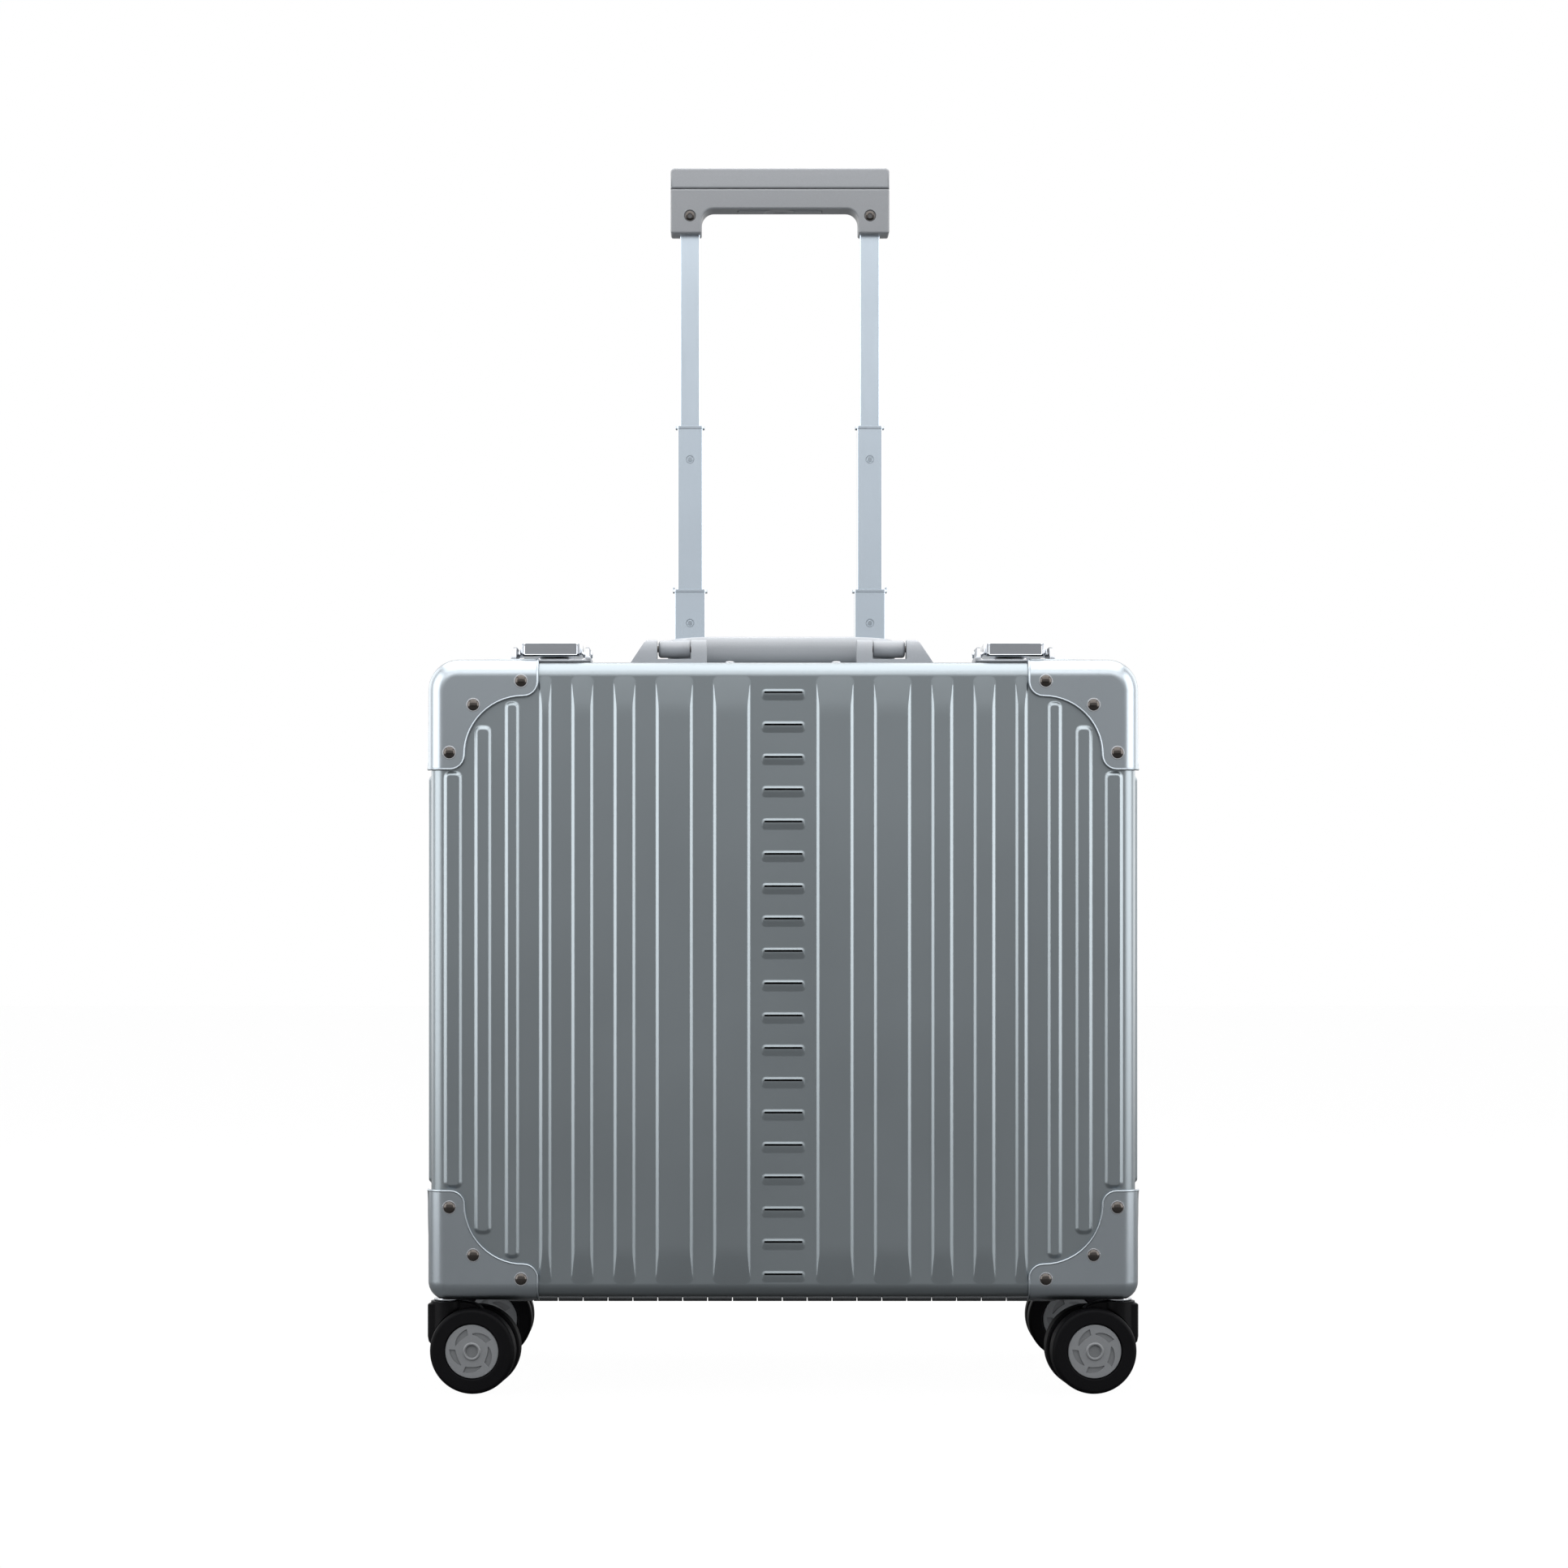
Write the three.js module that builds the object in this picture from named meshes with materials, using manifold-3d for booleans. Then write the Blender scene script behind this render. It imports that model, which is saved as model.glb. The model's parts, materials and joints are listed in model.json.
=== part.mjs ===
// Aluminium business trolley case on four twin-wheel casters.
// Millimetres, +Z up, +X to the right of someone facing the lid, the lid faces -Y.
// The origin is on the floor under the middle of the case.
import * as THREE from 'three';
import { mergeVertices } from 'three/addons/utils/BufferGeometryUtils.js';
import Module from 'manifold-3d';

const wasm = await Module();
wasm.setup();

// ---- driving dimensions -------------------------------------------------------------------------

// Case
const CASE_WIDTH = 429;
const CASE_HEIGHT = 386.5;
const CASE_DEPTH = 222;
const LID_DEPTH = 62; // front face to parting plane
const GROUND_CLEARANCE = 59; // floor to the bottom wall
const SHEET = 1.2; // shell wall
const EDGE_RADIUS = 9; // between the faces and the side walls
const TOP_CORNER_RADIUS = 17;
const BOTTOM_CORNER_RADIUS = 7;
const SHARPEST_CORNER = 0.4;
const SEAT_GAP = 0.3; // between pieces that rest on each other

// Pressed beads and slats
const BEAD_HEIGHT = 1.8;
const BEAD_FLANK = 3; // width of a bead's sloping side
const BEAD_END_MARGIN = 11; // from the case's end walls to the long beads
const BEAD_GUARD_GAP = 2.5; // from the corner guards to the short beads
const BEAD_ROWS = [ // valley before the bead, width of the bead, from the centre line outwards
  [21, 20.7],
  [14.2, 20.7],
  [14.2, 11.4],
  [14.2, 11.4],
  [14, 5.6],
  [14, 6.8],
  [10.1, 8.4],
  [9.4, 9.2],
];
const SIDE_BEAD_WIDTH = 10;
const SIDE_BEAD_PITCH = 22;
const SLAT_LENGTH = 25;
const SLAT_WIDTH = 5.4;
const SLAT_HEIGHT = 1.4;
const SLAT_FLANK = 2;
const SLAT_PITCH = 19.6;
const SLAT_MARGIN = 15.2; // from the top wall to the first slat

// Corner guards: two arms joined by a hollow sweep
const GUARD_SHEET = 1.5;
const GUARD_ARM = 22.5;
const GUARD_SWEEP = 36;
const GUARD_ARM_END = 8.5;
const GUARD_REACH = GUARD_ARM + GUARD_SWEEP + GUARD_ARM_END;
const GUARD_DEPTH = 46; // along the side walls
const RIVET_RADIUS = 4.2;
const RIVET_HEIGHT = 1.8;
const RIVET_ROOT = 0.8;
const RIVET_ARM = [57, 13.5]; // from the guard's two outer edges
const RIVET_ELBOW = 28;

// Closing frames, seal and lining
const FRAME_BAND = 12;
const FRAME_TONGUE = 10;
const FRAME_WALL = 1.5;
const FRAME_PROUD = 0.5;
const PARTING_GAP = 0.3;
const SEAL_WIDTH = 1.2;
const SEAL_DEPTH = 1.4;
const SEAL_INSET = 0.9; // from the frame's outer face
const LINING = 1.5;

// Piano hinge along the bottom of the parting plane
const HINGE_PITCH = 15.5;
const HINGE_END_MARGIN = 40; // least distance from the case's side walls
const HINGE_KNUCKLES = Math.floor((CASE_WIDTH - 2 * HINGE_END_MARGIN) / HINGE_PITCH);
const HINGE_KNUCKLE_GAP = 0.5;
const HINGE_BARREL_RADIUS = 3.8;
const HINGE_PIN_RADIUS = 1.5;
const HINGE_RUNNING_GAP = 0.15;
const HINGE_BORE_SIDES = 6;
const HINGE_LEAF = 1.2;
const HINGE_LEAF_WIDTH = 9;
const HINGE_LEAF_GAP = 0.6; // from a leaf to the other leaf's knuckles

// Trolley: three moving stages in fixed channels
const TROLLEY_SPACING = 118;
const TROLLEY_BACK_MARGIN = 20; // from the case's back face to the middle of the tubes
const TUBE_WALL = 1.4;
const TUBE_GAP = 0.4;
const TUBE_CORNER = 2;
const UPPER_TUBE = { width: 12.8, depth: 8, length: 282 };
const MIDDLE_TUBE_LENGTH = 290;
const LOWER_TUBE_LENGTH = 300;
const COLLAR_HEIGHT = 1.6;
const COLLAR_PROUD = 1.3;
const COLLAR_LUG = { width: 1.2, depth: 6, height: 1.8 };
const GLIDE_STUD_RADIUS = 2.8;
const GLIDE_STUD_DROP = 21.9; // from a collar down to its stud
const GLIDE_STUD_PROUD = 0.2;
const LOWER_EXPOSED = 57.7; // how far each stage stands out at rest
const MIDDLE_EXPOSED = 107.5;
const UPPER_EXPOSED = 125.6;
const CHANNEL_FOOT_GAP = 9; // from the bottom wall to the channels
const BEZEL = { height: 4.3, depth: 21, margin: 3.2, corner: 6, bevel: 1 };
const FOOT_WALL = 1.7;
const FOOT_HEIGHT = 15;

// Trolley grip
const GRIP_WIDTH = 143.3;
const GRIP_DEPTH = 24;
const GRIP_BAR = 13.2;
const GRIP_CAP = 13.2;
const GRIP_LEG = 16;
const GRIP_LEG_WIDTH = 20.3;
const GRIP_INNER_RADIUS = 8;
const GRIP_BEVEL = 1.5;
const GRIP_CAP_RADIUS = 2.5;
const GRIP_SOCKET_DEPTH = 15;
const GRIP_SCREW_RADIUS = 3.9;
const GRIP_SCREW_DEPTH = 1;
const GRIP_SCREW_RISE = 11.5;
const BUTTON = { length: 54.8, depth: 11.2, height: 6.4, corner: 3, bevel: 0.8, proud: 0.8, gap: 0.4 };
const BUTTON_TRAVEL = 3;
const BUTTON_SCOOP = 1; // depth of the finger scoop under the button

// Carry handle
const HANDLE_SETBACK = 29; // from the parting plane to the pivot line
const HANDLE_RISE = 12.7; // pivot above the case
const HANDLE_BARREL = { radius: 5.5, inner: 57.6, length: 20 };
const HANDLE_PIN_RADIUS = 2;
const HANDLE_RUNNING_GAP = 0.3;
const HANDLE_SIDE_GAP = 0.7;
const HANDLE_REACH = 33; // pivot to the middle of the bar
const HANDLE_ARM = { width: 12, height: 8.6 };
const HANDLE_BAR = { depth: 12.5, height: 15, lift: 2.3, bend: 14 };
const HANDLE_STOPS = [0, 0.2, 0.28, 0.34, 0.41, 0.65, 1]; // sections, as shares of the way to the middle
const BRACKET = { depth: 22, block: 9.7, web: 6, top: 18.4, wing: 17.4, wingTop: 6.5 };
const BRACKET_CROWN = { flat: 3.85, bow: 6.6, shoulder: 8.8, drop: 2 }; // from the pivot line
const PIN_BITE = 5; // how far a pin enters the block and the wing

// Draw latches
const LATCH_INSET = 72.5; // from the case's side walls to the middle of a latch
const LATCH_LENGTH = 38.5;
const LATCH_PARTING_MARGIN = 8; // from the parting plane to the latch base
const LATCH_PLATE = 1.5;
const LATCH_HALF_WIDTH = 24.4;
const CHEEK = { width: 3.4, draft: 1, height: 9.3, chamfer: 2, nose: 5, noseHeight: 1 };
const LEVER = { halfWidth: 19.2, height: 10.4, rise: 3.5, bevel: 3, slope: 1, edge: 1 };
const LEVER_FINGER = { overhang: 1, rise: 0.4 }; // past the base
const LEVER_TAIL = { length: 3, taper: 1.5, rise: 0.6, drop: 4.5 }; // behind the pivot
const LEVER_SHOULDER = 0.35; // share of the lever's height
const LEVER_PIVOT = { inset: 5, rise: 6, radius: 1.9, bite: 2, endGap: 1 };
const CLAW = { halfWidth: 9, pivotBack: 6, pivotRise: 8.6, thickness: 2.3, eye: 2.9 };
const CLAW_PIN = { radius: 1.4, bite: 3 };
const CLAW_STRAP = { start: 3, landing: 4, drop: 0.4 }; // how the strap leaves the eye
const CLAW_TIP = { length: 2, slope: 0.4, drop: 0.8, chamfer: 1, nose: 0.6 };
const LATCH_RUNNING_GAP = 0.3;
const LATCH_EYE_GAP = 1; // in the lever's slot, in front of the claw's eye
const KEEPER = { halfWidth: 12, plate: 1.2, lip: 3.2, depth: 6.5, setback: 5 };
const KEEPER_HOOK = [ // back from the keeper's front edge, below the top of its lip
  [2.6, 0.5],
  [1.8, 0],
  [0.8, 0.3],
];
const KEEPER_HOOK_ROOT = 3;

// Casters
const CASTER_INSET = { side: 8.5, face: 23 }; // from the case's walls to the swivel axis
const CASTER_TRAIL = 18;
const CASTER_TOE = 5; // degrees, front pair only
const WHEEL_RADIUS = 26;
const WHEEL_WIDTH = 12.4;
const WHEEL_BEVEL = 2;
const WHEEL_SPACE = 11.2; // between the two wheels of a caster
const HUB_CAP_RADIUS = 16.5;
const HUB_BOSS_RADIUS = 3.7;
const HUB_RING_RADIUS = 5.4;
const HUB_DISH = 0.8;
const AXLE_RADIUS = 2.5;
const AXLE_GAP = 0.3;
const AXLE_LENGTH = 31;
const FORK_RADIUS = 9.7;
const FORK_WEB = 9.4;
const FORK_BARREL_RISE = 6; // from the axle up to the barrel
const FORK_NOSE = { reach: 11, chamfer: 2.5 };
const FORK_TAIL_CURVE = { start: 11.7, reach: 27, drop: 1 };
const FORK_UNDERSIDE = [ // from the swivel axis and above the axle, tail to nose
  [28, 12],
  [26, -2],
  [18, -8],
  [9, -6],
  [-8, 1],
  [-11, 5],
];
const FORK_ARCH_GAP = 0.8;
const PIVOT_BOSS = { radius: 7.7, height: 1.4 };
const PIVOT_STUD = { radius: 4, length: 10, gap: 0.3 };

// How finely round forms are divided
const CORNER_STEPS = 3;
const EDGE_STEPS = 3;
const WHEEL_SIDES = 18;
const RIVET_SIDES = 8;
const ROD_SIDES = 10;
const SWIVEL_SIDES = 12;
const SCOOP_SIDES = 64;
const ARC_SEGMENTS = 2; // half the number of straight pieces in an outline's arc
const WELD = 1e-4;
const CUT = 1; // how far a cutting solid runs past what it cuts

// ---- places worked out from the dimensions ------------------------------------------------------

const CASE_BOTTOM = GROUND_CLEARANCE;
const CASE_TOP = CASE_BOTTOM + CASE_HEIGHT;
const CASE_HALF_WIDTH = CASE_WIDTH / 2;
const FACE_Y = CASE_DEPTH / 2;
const PARTING_Y = -FACE_Y + LID_DEPTH;
const GUARD_OFFSET = SEAT_GAP + GUARD_SHEET;
const FRAME_TOP = CASE_TOP + FRAME_PROUD;
const TUBE_X = TROLLEY_SPACING / 2;
const HANDLE_Y = PARTING_Y + HANDLE_SETBACK;
const TROLLEY_Y = FACE_Y - TROLLEY_BACK_MARGIN;
const LATCH_X = CASE_HALF_WIDTH - LATCH_INSET;
const CASTER_X = CASE_HALF_WIDTH - CASTER_INSET.side;
const CASTER_Y = FACE_Y - CASTER_INSET.face;
const LINING_OFFSET = -(SHEET + 2 * SEAT_GAP + FRAME_WALL);
const FRONT = -1;
const REAR = 1;
const SIDES = { left: -1, right: 1 };

// ---- solids: three.js geometry made closed, so that it can be joined and cut --------------------

function signedVolume(positions, triangles) {
  const [a, b, c] = [new THREE.Vector3(), new THREE.Vector3(), new THREE.Vector3()];
  let volume = 0;
  for (let i = 0; i < triangles.length; i += 3) {
    a.fromArray(positions, 3 * triangles[i]);
    b.fromArray(positions, 3 * triangles[i + 1]);
    c.fromArray(positions, 3 * triangles[i + 2]);
    volume += a.dot(b.cross(c)) / 6;
  }
  return volume;
}

// A closed solid from any closed three.js geometry, moved by a matrix.
// A mirrored one is turned outside out.
function solid(geometry, matrix = new THREE.Matrix4()) {
  const bare = new THREE.BufferGeometry();
  bare.setAttribute('position', geometry.getAttribute('position').clone());
  if (geometry.index) bare.setIndex(geometry.index.clone());
  bare.applyMatrix4(matrix);
  const merged = mergeVertices(bare, WELD);
  const positions = Float32Array.from(merged.getAttribute('position').array);
  const corners = merged.index.array;
  const triangles = [];
  for (let i = 0; i < corners.length; i += 3) {
    const [a, b, c] = [corners[i], corners[i + 1], corners[i + 2]];
    if (a !== b && b !== c && c !== a) triangles.push(a, b, c);
  }
  if (signedVolume(positions, triangles) < 0) {
    for (let i = 0; i < triangles.length; i += 3) {
      [triangles[i], triangles[i + 1]] = [triangles[i + 1], triangles[i]];
    }
  }
  return new wasm.Manifold(new wasm.Mesh({
    numProp: 3,
    vertProperties: positions,
    triVerts: Uint32Array.from(triangles),
  }));
}

function geometryOf(body) {
  const mesh = body.getMesh();
  const positions = new THREE.BufferAttribute(Float32Array.from(mesh.vertProperties), 3);
  const geometry = new THREE.BufferGeometry();
  geometry.setAttribute('position', positions);
  geometry.setIndex(new THREE.BufferAttribute(Uint32Array.from(mesh.triVerts), 1));
  geometry.computeVertexNormals();
  return geometry;
}

const union = (bodies) => bodies.reduce((whole, body) => whole.add(body));

function mirrored(body, sideX, sideY = 1) {
  return solid(geometryOf(body), new THREE.Matrix4().makeScale(sideX, sideY, 1));
}

const translation = (x, y, z) => new THREE.Matrix4().makeTranslation(x, y, z);

function box(x0, x1, y0, y1, z0, z1) {
  const centre = translation((x0 + x1) / 2, (y0 + y1) / 2, (z0 + z1) / 2);
  return solid(new THREE.BoxGeometry(x1 - x0, y1 - y0, z1 - z0), centre);
}

// The frames in which outlines are drawn: first and second outline direction, then the extrusion.
const AXES = {
  x: new THREE.Matrix4().makeBasis(vector(0, 1, 0), vector(0, 0, 1), vector(1, 0, 0)),
  y: new THREE.Matrix4().makeBasis(vector(1, 0, 0), vector(0, 0, 1), vector(0, -1, 0)),
  z: new THREE.Matrix4(),
};

function vector(x, y, z) {
  return new THREE.Vector3(x, y, z);
}

// An outline in YZ, XZ or XY, extruded along the remaining axis between two places.
function prism(shape, axis, from, to, settings = {}) {
  const bevel = settings.bevelThickness ?? 0;
  const geometry = new THREE.ExtrudeGeometry(shape, {
    depth: to - from - 2 * bevel,
    bevelEnabled: bevel > 0,
    bevelSegments: 1,
    curveSegments: ARC_SEGMENTS,
    ...settings,
  });
  const start = axis === 'y' ? -(to - bevel) : from + bevel;
  return solid(geometry, AXES[axis].clone().multiply(translation(0, 0, start)));
}

const bevelled = (size) => ({ bevelThickness: size, bevelSize: size, bevelOffset: -size });

const polygon = (points) => new THREE.Shape(points.map(([u, v]) => new THREE.Vector2(u, v)));

function circle(u, v, radius, sides = ROD_SIDES) {
  return polygon(Array.from({ length: sides }, (_, i) => {
    const turn = (2 * Math.PI * (i + 0.5)) / sides;
    return [u + radius * Math.cos(turn), v + radius * Math.sin(turn)];
  }));
}

// A hole that a rod of the given radius can turn in: its flats lie at the radius.
const boreCircle = (u, v, radius, sides) => circle(u, v, radius / Math.cos(Math.PI / sides), sides);

function roundedRectangle(width, depth, radius, u = 0, v = 0) {
  const [a, b] = [width / 2 - radius, depth / 2 - radius];
  const shape = new THREE.Shape();
  shape.absarc(u + a, v + b, radius, 0, Math.PI / 2);
  shape.absarc(u - a, v + b, radius, Math.PI / 2, Math.PI);
  shape.absarc(u - a, v - b, radius, Math.PI, 1.5 * Math.PI);
  shape.absarc(u + a, v - b, radius, 1.5 * Math.PI, 2 * Math.PI);
  return shape;
}

// A closed skin through rings of points that lie one behind the other; the end rings are convex.
function loft(rings) {
  const count = rings[0].length;
  const points = rings.flat();
  const triangles = [];
  for (let r = 0; r < rings.length - 1; r += 1) {
    for (let i = 0; i < count; i += 1) {
      const [a, b] = [r * count + i, r * count + ((i + 1) % count)];
      triangles.push(a, b, b + count, a, b + count, a + count);
    }
  }
  const last = (rings.length - 1) * count;
  for (let i = 1; i < count - 1; i += 1) {
    triangles.push(0, i + 1, i, last, last + i, last + i + 1);
  }
  const geometry = new THREE.BufferGeometry().setFromPoints(points);
  geometry.setIndex(triangles);
  return solid(geometry);
}

// A body of revolution about the vertical through a point; the profile runs from axis to axis.
// Its flats lie at the profile's radius, with one flat facing local -Y.
function turned(profile, matrix, sides = ROD_SIDES) {
  const outward = 1 / Math.cos(Math.PI / sides);
  const points = profile.map(([radius, height]) => new THREE.Vector2(radius * outward, height));
  const upright = new THREE.Matrix4().makeRotationX(Math.PI / 2);
  const lathe = new THREE.LatheGeometry(points, sides, Math.PI / sides);
  return solid(lathe, matrix.clone().multiply(upright));
}

// Turns local Z to a wall's outward normal, with local Y kept vertical.
function onWall(normal, x, y, z) {
  const up = vector(0, 0, 1);
  const across = up.clone().cross(normal);
  return translation(x, y, z).multiply(new THREE.Matrix4().makeBasis(across, up, normal));
}

// ---- the case's own form, at any offset from the sheet's outer face -----------------------------

function caseOutline(offset, inset, y) {
  const right = CASE_HALF_WIDTH + offset - inset;
  const top = CASE_TOP + offset - inset;
  const bottom = CASE_BOTTOM - offset + inset;
  const upper = Math.max(TOP_CORNER_RADIUS + offset - inset, SHARPEST_CORNER);
  const lower = Math.max(BOTTOM_CORNER_RADIUS + offset - inset, SHARPEST_CORNER);
  const corners = [
    [right - upper, top - upper, upper],
    [-right + upper, top - upper, upper],
    [-right + lower, bottom + lower, lower],
    [right - lower, bottom + lower, lower],
  ];
  const cornerPoints = ([x, z, radius], quarter) => Array.from({ length: CORNER_STEPS + 1 }, (_, i) => {
    const turn = ((quarter + i / CORNER_STEPS) * Math.PI) / 2;
    return vector(x + radius * Math.cos(turn), y, z + radius * Math.sin(turn));
  });
  return corners.flatMap(cornerPoints);
}

// One half of the case as a full solid, from its rounded face to an open plane.
function caseHalf(side, offset, openY, faceY = FACE_Y) {
  const radius = EDGE_RADIUS + offset;
  const rings = Array.from({ length: EDGE_STEPS + 1 }, (_, i) => {
    const turn = ((i / EDGE_STEPS) * Math.PI) / 2;
    const y = side * (faceY + offset - radius * (1 - Math.cos(turn)));
    return caseOutline(offset, radius * (1 - Math.sin(turn)), y);
  });
  return loft([...rings, caseOutline(offset, 0, openY)]);
}

function caseBand(outer, inner, y0, y1) {
  const outside = loft([caseOutline(outer, 0, y0), caseOutline(outer, 0, y1)]);
  const inside = loft([caseOutline(inner, 0, y0 - CUT), caseOutline(inner, 0, y1 + CUT)]);
  return outside.subtract(inside);
}

// ---- pressed beads ------------------------------------------------------------------------------

// A raised bar with sloping sides and eased ends on a wall, at any offset from the sheet's
// outer face. On the inside of the sheet its corners are left square.
function bar(width, length, height, flank, offset, matrix, eased = offset === 0) {
  const shift = offset * Math.hypot(1, flank / height);
  const ring = (z) => {
    const spread = flank * (0.5 - z / height) + shift;
    const [a, b] = [width / 2 + spread, length / 2 + spread];
    const ease = 0.6 * Math.min(a, b);
    const quarter = eased ? [[a, b - ease], [a - ease, b]] : [[a, b]];
    const half = [...quarter, ...quarter.map(([x, y]) => [-x, y]).reverse()];
    const ringPoints = [...half, ...half.map(([x, y]) => [-x, -y])];
    return ringPoints.map(([x, y]) => vector(x, y, z).applyMatrix4(matrix));
  };
  return loft([ring(offset - SHEET / 2), ring(height + offset)]);
}

// Height of a corner guard's outline above its outer edge, at a distance along the other edge.
function guardOutlineAt(distance) {
  const armCentre = GUARD_ARM - GUARD_ARM_END;
  const elbow = GUARD_ARM + GUARD_SWEEP;
  if (distance >= GUARD_REACH) return 0;
  if (distance >= elbow) return armCentre + Math.sqrt(GUARD_ARM_END ** 2 - (distance - elbow) ** 2);
  if (distance >= GUARD_ARM) return elbow - Math.sqrt(GUARD_SWEEP ** 2 - (elbow - distance) ** 2);
  return GUARD_REACH;
}

function faceBeads(side, offset) {
  const beads = [];
  let edge = 0;
  for (const [valley, width] of BEAD_ROWS) {
    const x = edge + valley + width / 2;
    edge += valley + width;
    const outer = edge + BEAD_FLANK / 2;
    if (outer > CASE_HALF_WIDTH - EDGE_RADIUS) break;
    const guard = guardOutlineAt(CASE_HALF_WIDTH + GUARD_OFFSET - outer);
    const end = guard > 0 ? guard - GUARD_OFFSET + BEAD_GUARD_GAP : BEAD_END_MARGIN;
    const length = CASE_HEIGHT - 2 * end;
    for (const hand of [-1, 1]) {
      const wall = onWall(vector(0, side, 0), hand * x, side * FACE_Y, CASE_BOTTOM + CASE_HEIGHT / 2);
      beads.push(bar(width, length, BEAD_HEIGHT, BEAD_FLANK, offset, wall));
    }
  }
  return beads;
}

// Beads along the two side walls, from the closing frame towards the face.
function sideBeads(side, offset, openY) {
  const beads = [];
  const guardEdge = FACE_Y + GUARD_OFFSET - GUARD_DEPTH;
  const room = Math.abs(side * FACE_Y - openY) - EDGE_RADIUS - SIDE_BEAD_WIDTH / 2;
  for (let run = SIDE_BEAD_PITCH / 2; run < room; run += SIDE_BEAD_PITCH) {
    const y = openY + side * run;
    const besideGuard = Math.abs(y) + SIDE_BEAD_WIDTH / 2 + BEAD_FLANK > guardEdge;
    const end = (besideGuard ? GUARD_REACH : TOP_CORNER_RADIUS) + BEAD_GUARD_GAP;
    const length = CASE_HEIGHT - 2 * end;
    for (const hand of [-1, 1]) {
      const wall = onWall(vector(hand, 0, 0), hand * CASE_HALF_WIDTH, y, CASE_BOTTOM + CASE_HEIGHT / 2);
      beads.push(bar(SIDE_BEAD_WIDTH, length, BEAD_HEIGHT, BEAD_FLANK, offset, wall));
    }
  }
  return beads;
}

function slats() {
  const count = Math.floor((CASE_HEIGHT - 2 * SLAT_MARGIN) / SLAT_PITCH) + 1;
  return Array.from({ length: count }, (_, i) => {
    const z = CASE_TOP - SLAT_MARGIN - i * SLAT_PITCH;
    const wall = onWall(vector(0, FRONT, 0), 0, FRONT * FACE_Y, z);
    return bar(SLAT_LENGTH, SLAT_WIDTH, SLAT_HEIGHT, SLAT_FLANK, 0, wall, false);
  });
}

function pressedShell(side) {
  const openY = PARTING_Y + side * (FRAME_BAND + SEAT_GAP);
  const pressed = (offset, open) => union([
    caseHalf(side, offset, open),
    ...faceBeads(side, offset),
    ...sideBeads(side, offset, openY),
  ]);
  return pressed(0, openY).subtract(pressed(-SHEET, openY - side * CUT));
}

// ---- corner guards ------------------------------------------------------------------------------

// The guard's outline on one face, from its corner at 0, 0; the second direction may be shortened.
function guardOutline(shorten = 1) {
  const elbow = GUARD_ARM + GUARD_SWEEP;
  const armCentre = GUARD_ARM - GUARD_ARM_END;
  const back = -EDGE_RADIUS;
  const path = new THREE.Shape();
  path.moveTo(back, back);
  path.lineTo(GUARD_REACH, back);
  path.absarc(elbow, armCentre, GUARD_ARM_END, 0, Math.PI / 2);
  path.absarc(elbow, elbow, GUARD_SWEEP, -Math.PI / 2, -Math.PI, true);
  path.absarc(armCentre, elbow, GUARD_ARM_END, 0, Math.PI / 2);
  path.lineTo(back, GUARD_REACH);
  const points = path.extractPoints(ARC_SEGMENTS).shape;
  return polygon(points.map((p) => [p.x, p.y * shorten]));
}

function rivet(x, z) {
  const dome = [
    [0, RIVET_HEIGHT],
    [0.55 * RIVET_RADIUS, 0.8 * RIVET_HEIGHT],
    [RIVET_RADIUS, 0],
    [RIVET_RADIUS, -RIVET_ROOT],
    [0, -RIVET_ROOT],
  ];
  return turned(dome, onWall(vector(0, REAR, 0), x, FACE_Y + GUARD_OFFSET, z), RIVET_SIDES);
}

// The rear right guard, at the top (level 1) or the bottom (level -1); the others mirror it.
function cornerGuard(level) {
  const skin = caseHalf(REAR, GUARD_OFFSET, 0).subtract(caseHalf(REAR, SEAT_GAP, -CUT));
  const corner = { x: CASE_HALF_WIDTH + GUARD_OFFSET, y: FACE_Y + GUARD_OFFSET };
  corner.z = level > 0 ? CASE_TOP + GUARD_OFFSET : CASE_BOTTOM - GUARD_OFFSET;
  const placed = (shape, turn) => {
    const geometry = new THREE.ExtrudeGeometry(shape, { depth: CASE_HEIGHT, bevelEnabled: false });
    return solid(geometry, translation(corner.x, corner.y, corner.z).multiply(turn));
  };
  const shortened = guardOutline(GUARD_DEPTH / GUARD_REACH);
  const basis = (u, v, w) => new THREE.Matrix4().makeBasis(u, v, w)
    .multiply(translation(0, 0, -EDGE_RADIUS));
  const [inX, inY, inZ] = [vector(-1, 0, 0), vector(0, -1, 0), vector(0, 0, -level)];
  const guard = skin
    .intersect(placed(guardOutline(), basis(inX, inZ, inY)))
    .intersect(placed(shortened, basis(inZ, inY, inX)))
    .intersect(placed(shortened, basis(inX, inY, inZ)));
  const spots = [RIVET_ARM, [...RIVET_ARM].reverse(), [RIVET_ELBOW, RIVET_ELBOW]];
  return union([guard, ...spots.map(([u, v]) => rivet(corner.x - u, corner.z - level * v))]);
}

// ---- closing frames, seal and linings -----------------------------------------------------------

function closingFrame(side) {
  const face = PARTING_Y + (side * PARTING_GAP) / 2;
  const step = PARTING_Y + side * FRAME_BAND;
  const end = step + side * FRAME_TONGUE;
  const root = step - side * CUT;
  const outer = -(SHEET + SEAT_GAP);
  const inner = outer - FRAME_WALL;
  const band = caseBand(FRAME_PROUD, inner, Math.min(face, step), Math.max(face, step));
  const tongue = caseBand(outer, inner, Math.min(root, end), Math.max(root, end));
  return band.add(tongue);
}

function sealRing(gap, y0, y1) {
  const outer = FRAME_PROUD - SEAL_INSET + gap;
  return caseBand(outer, outer - SEAL_WIDTH - 2 * gap, y0, y1);
}

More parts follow.
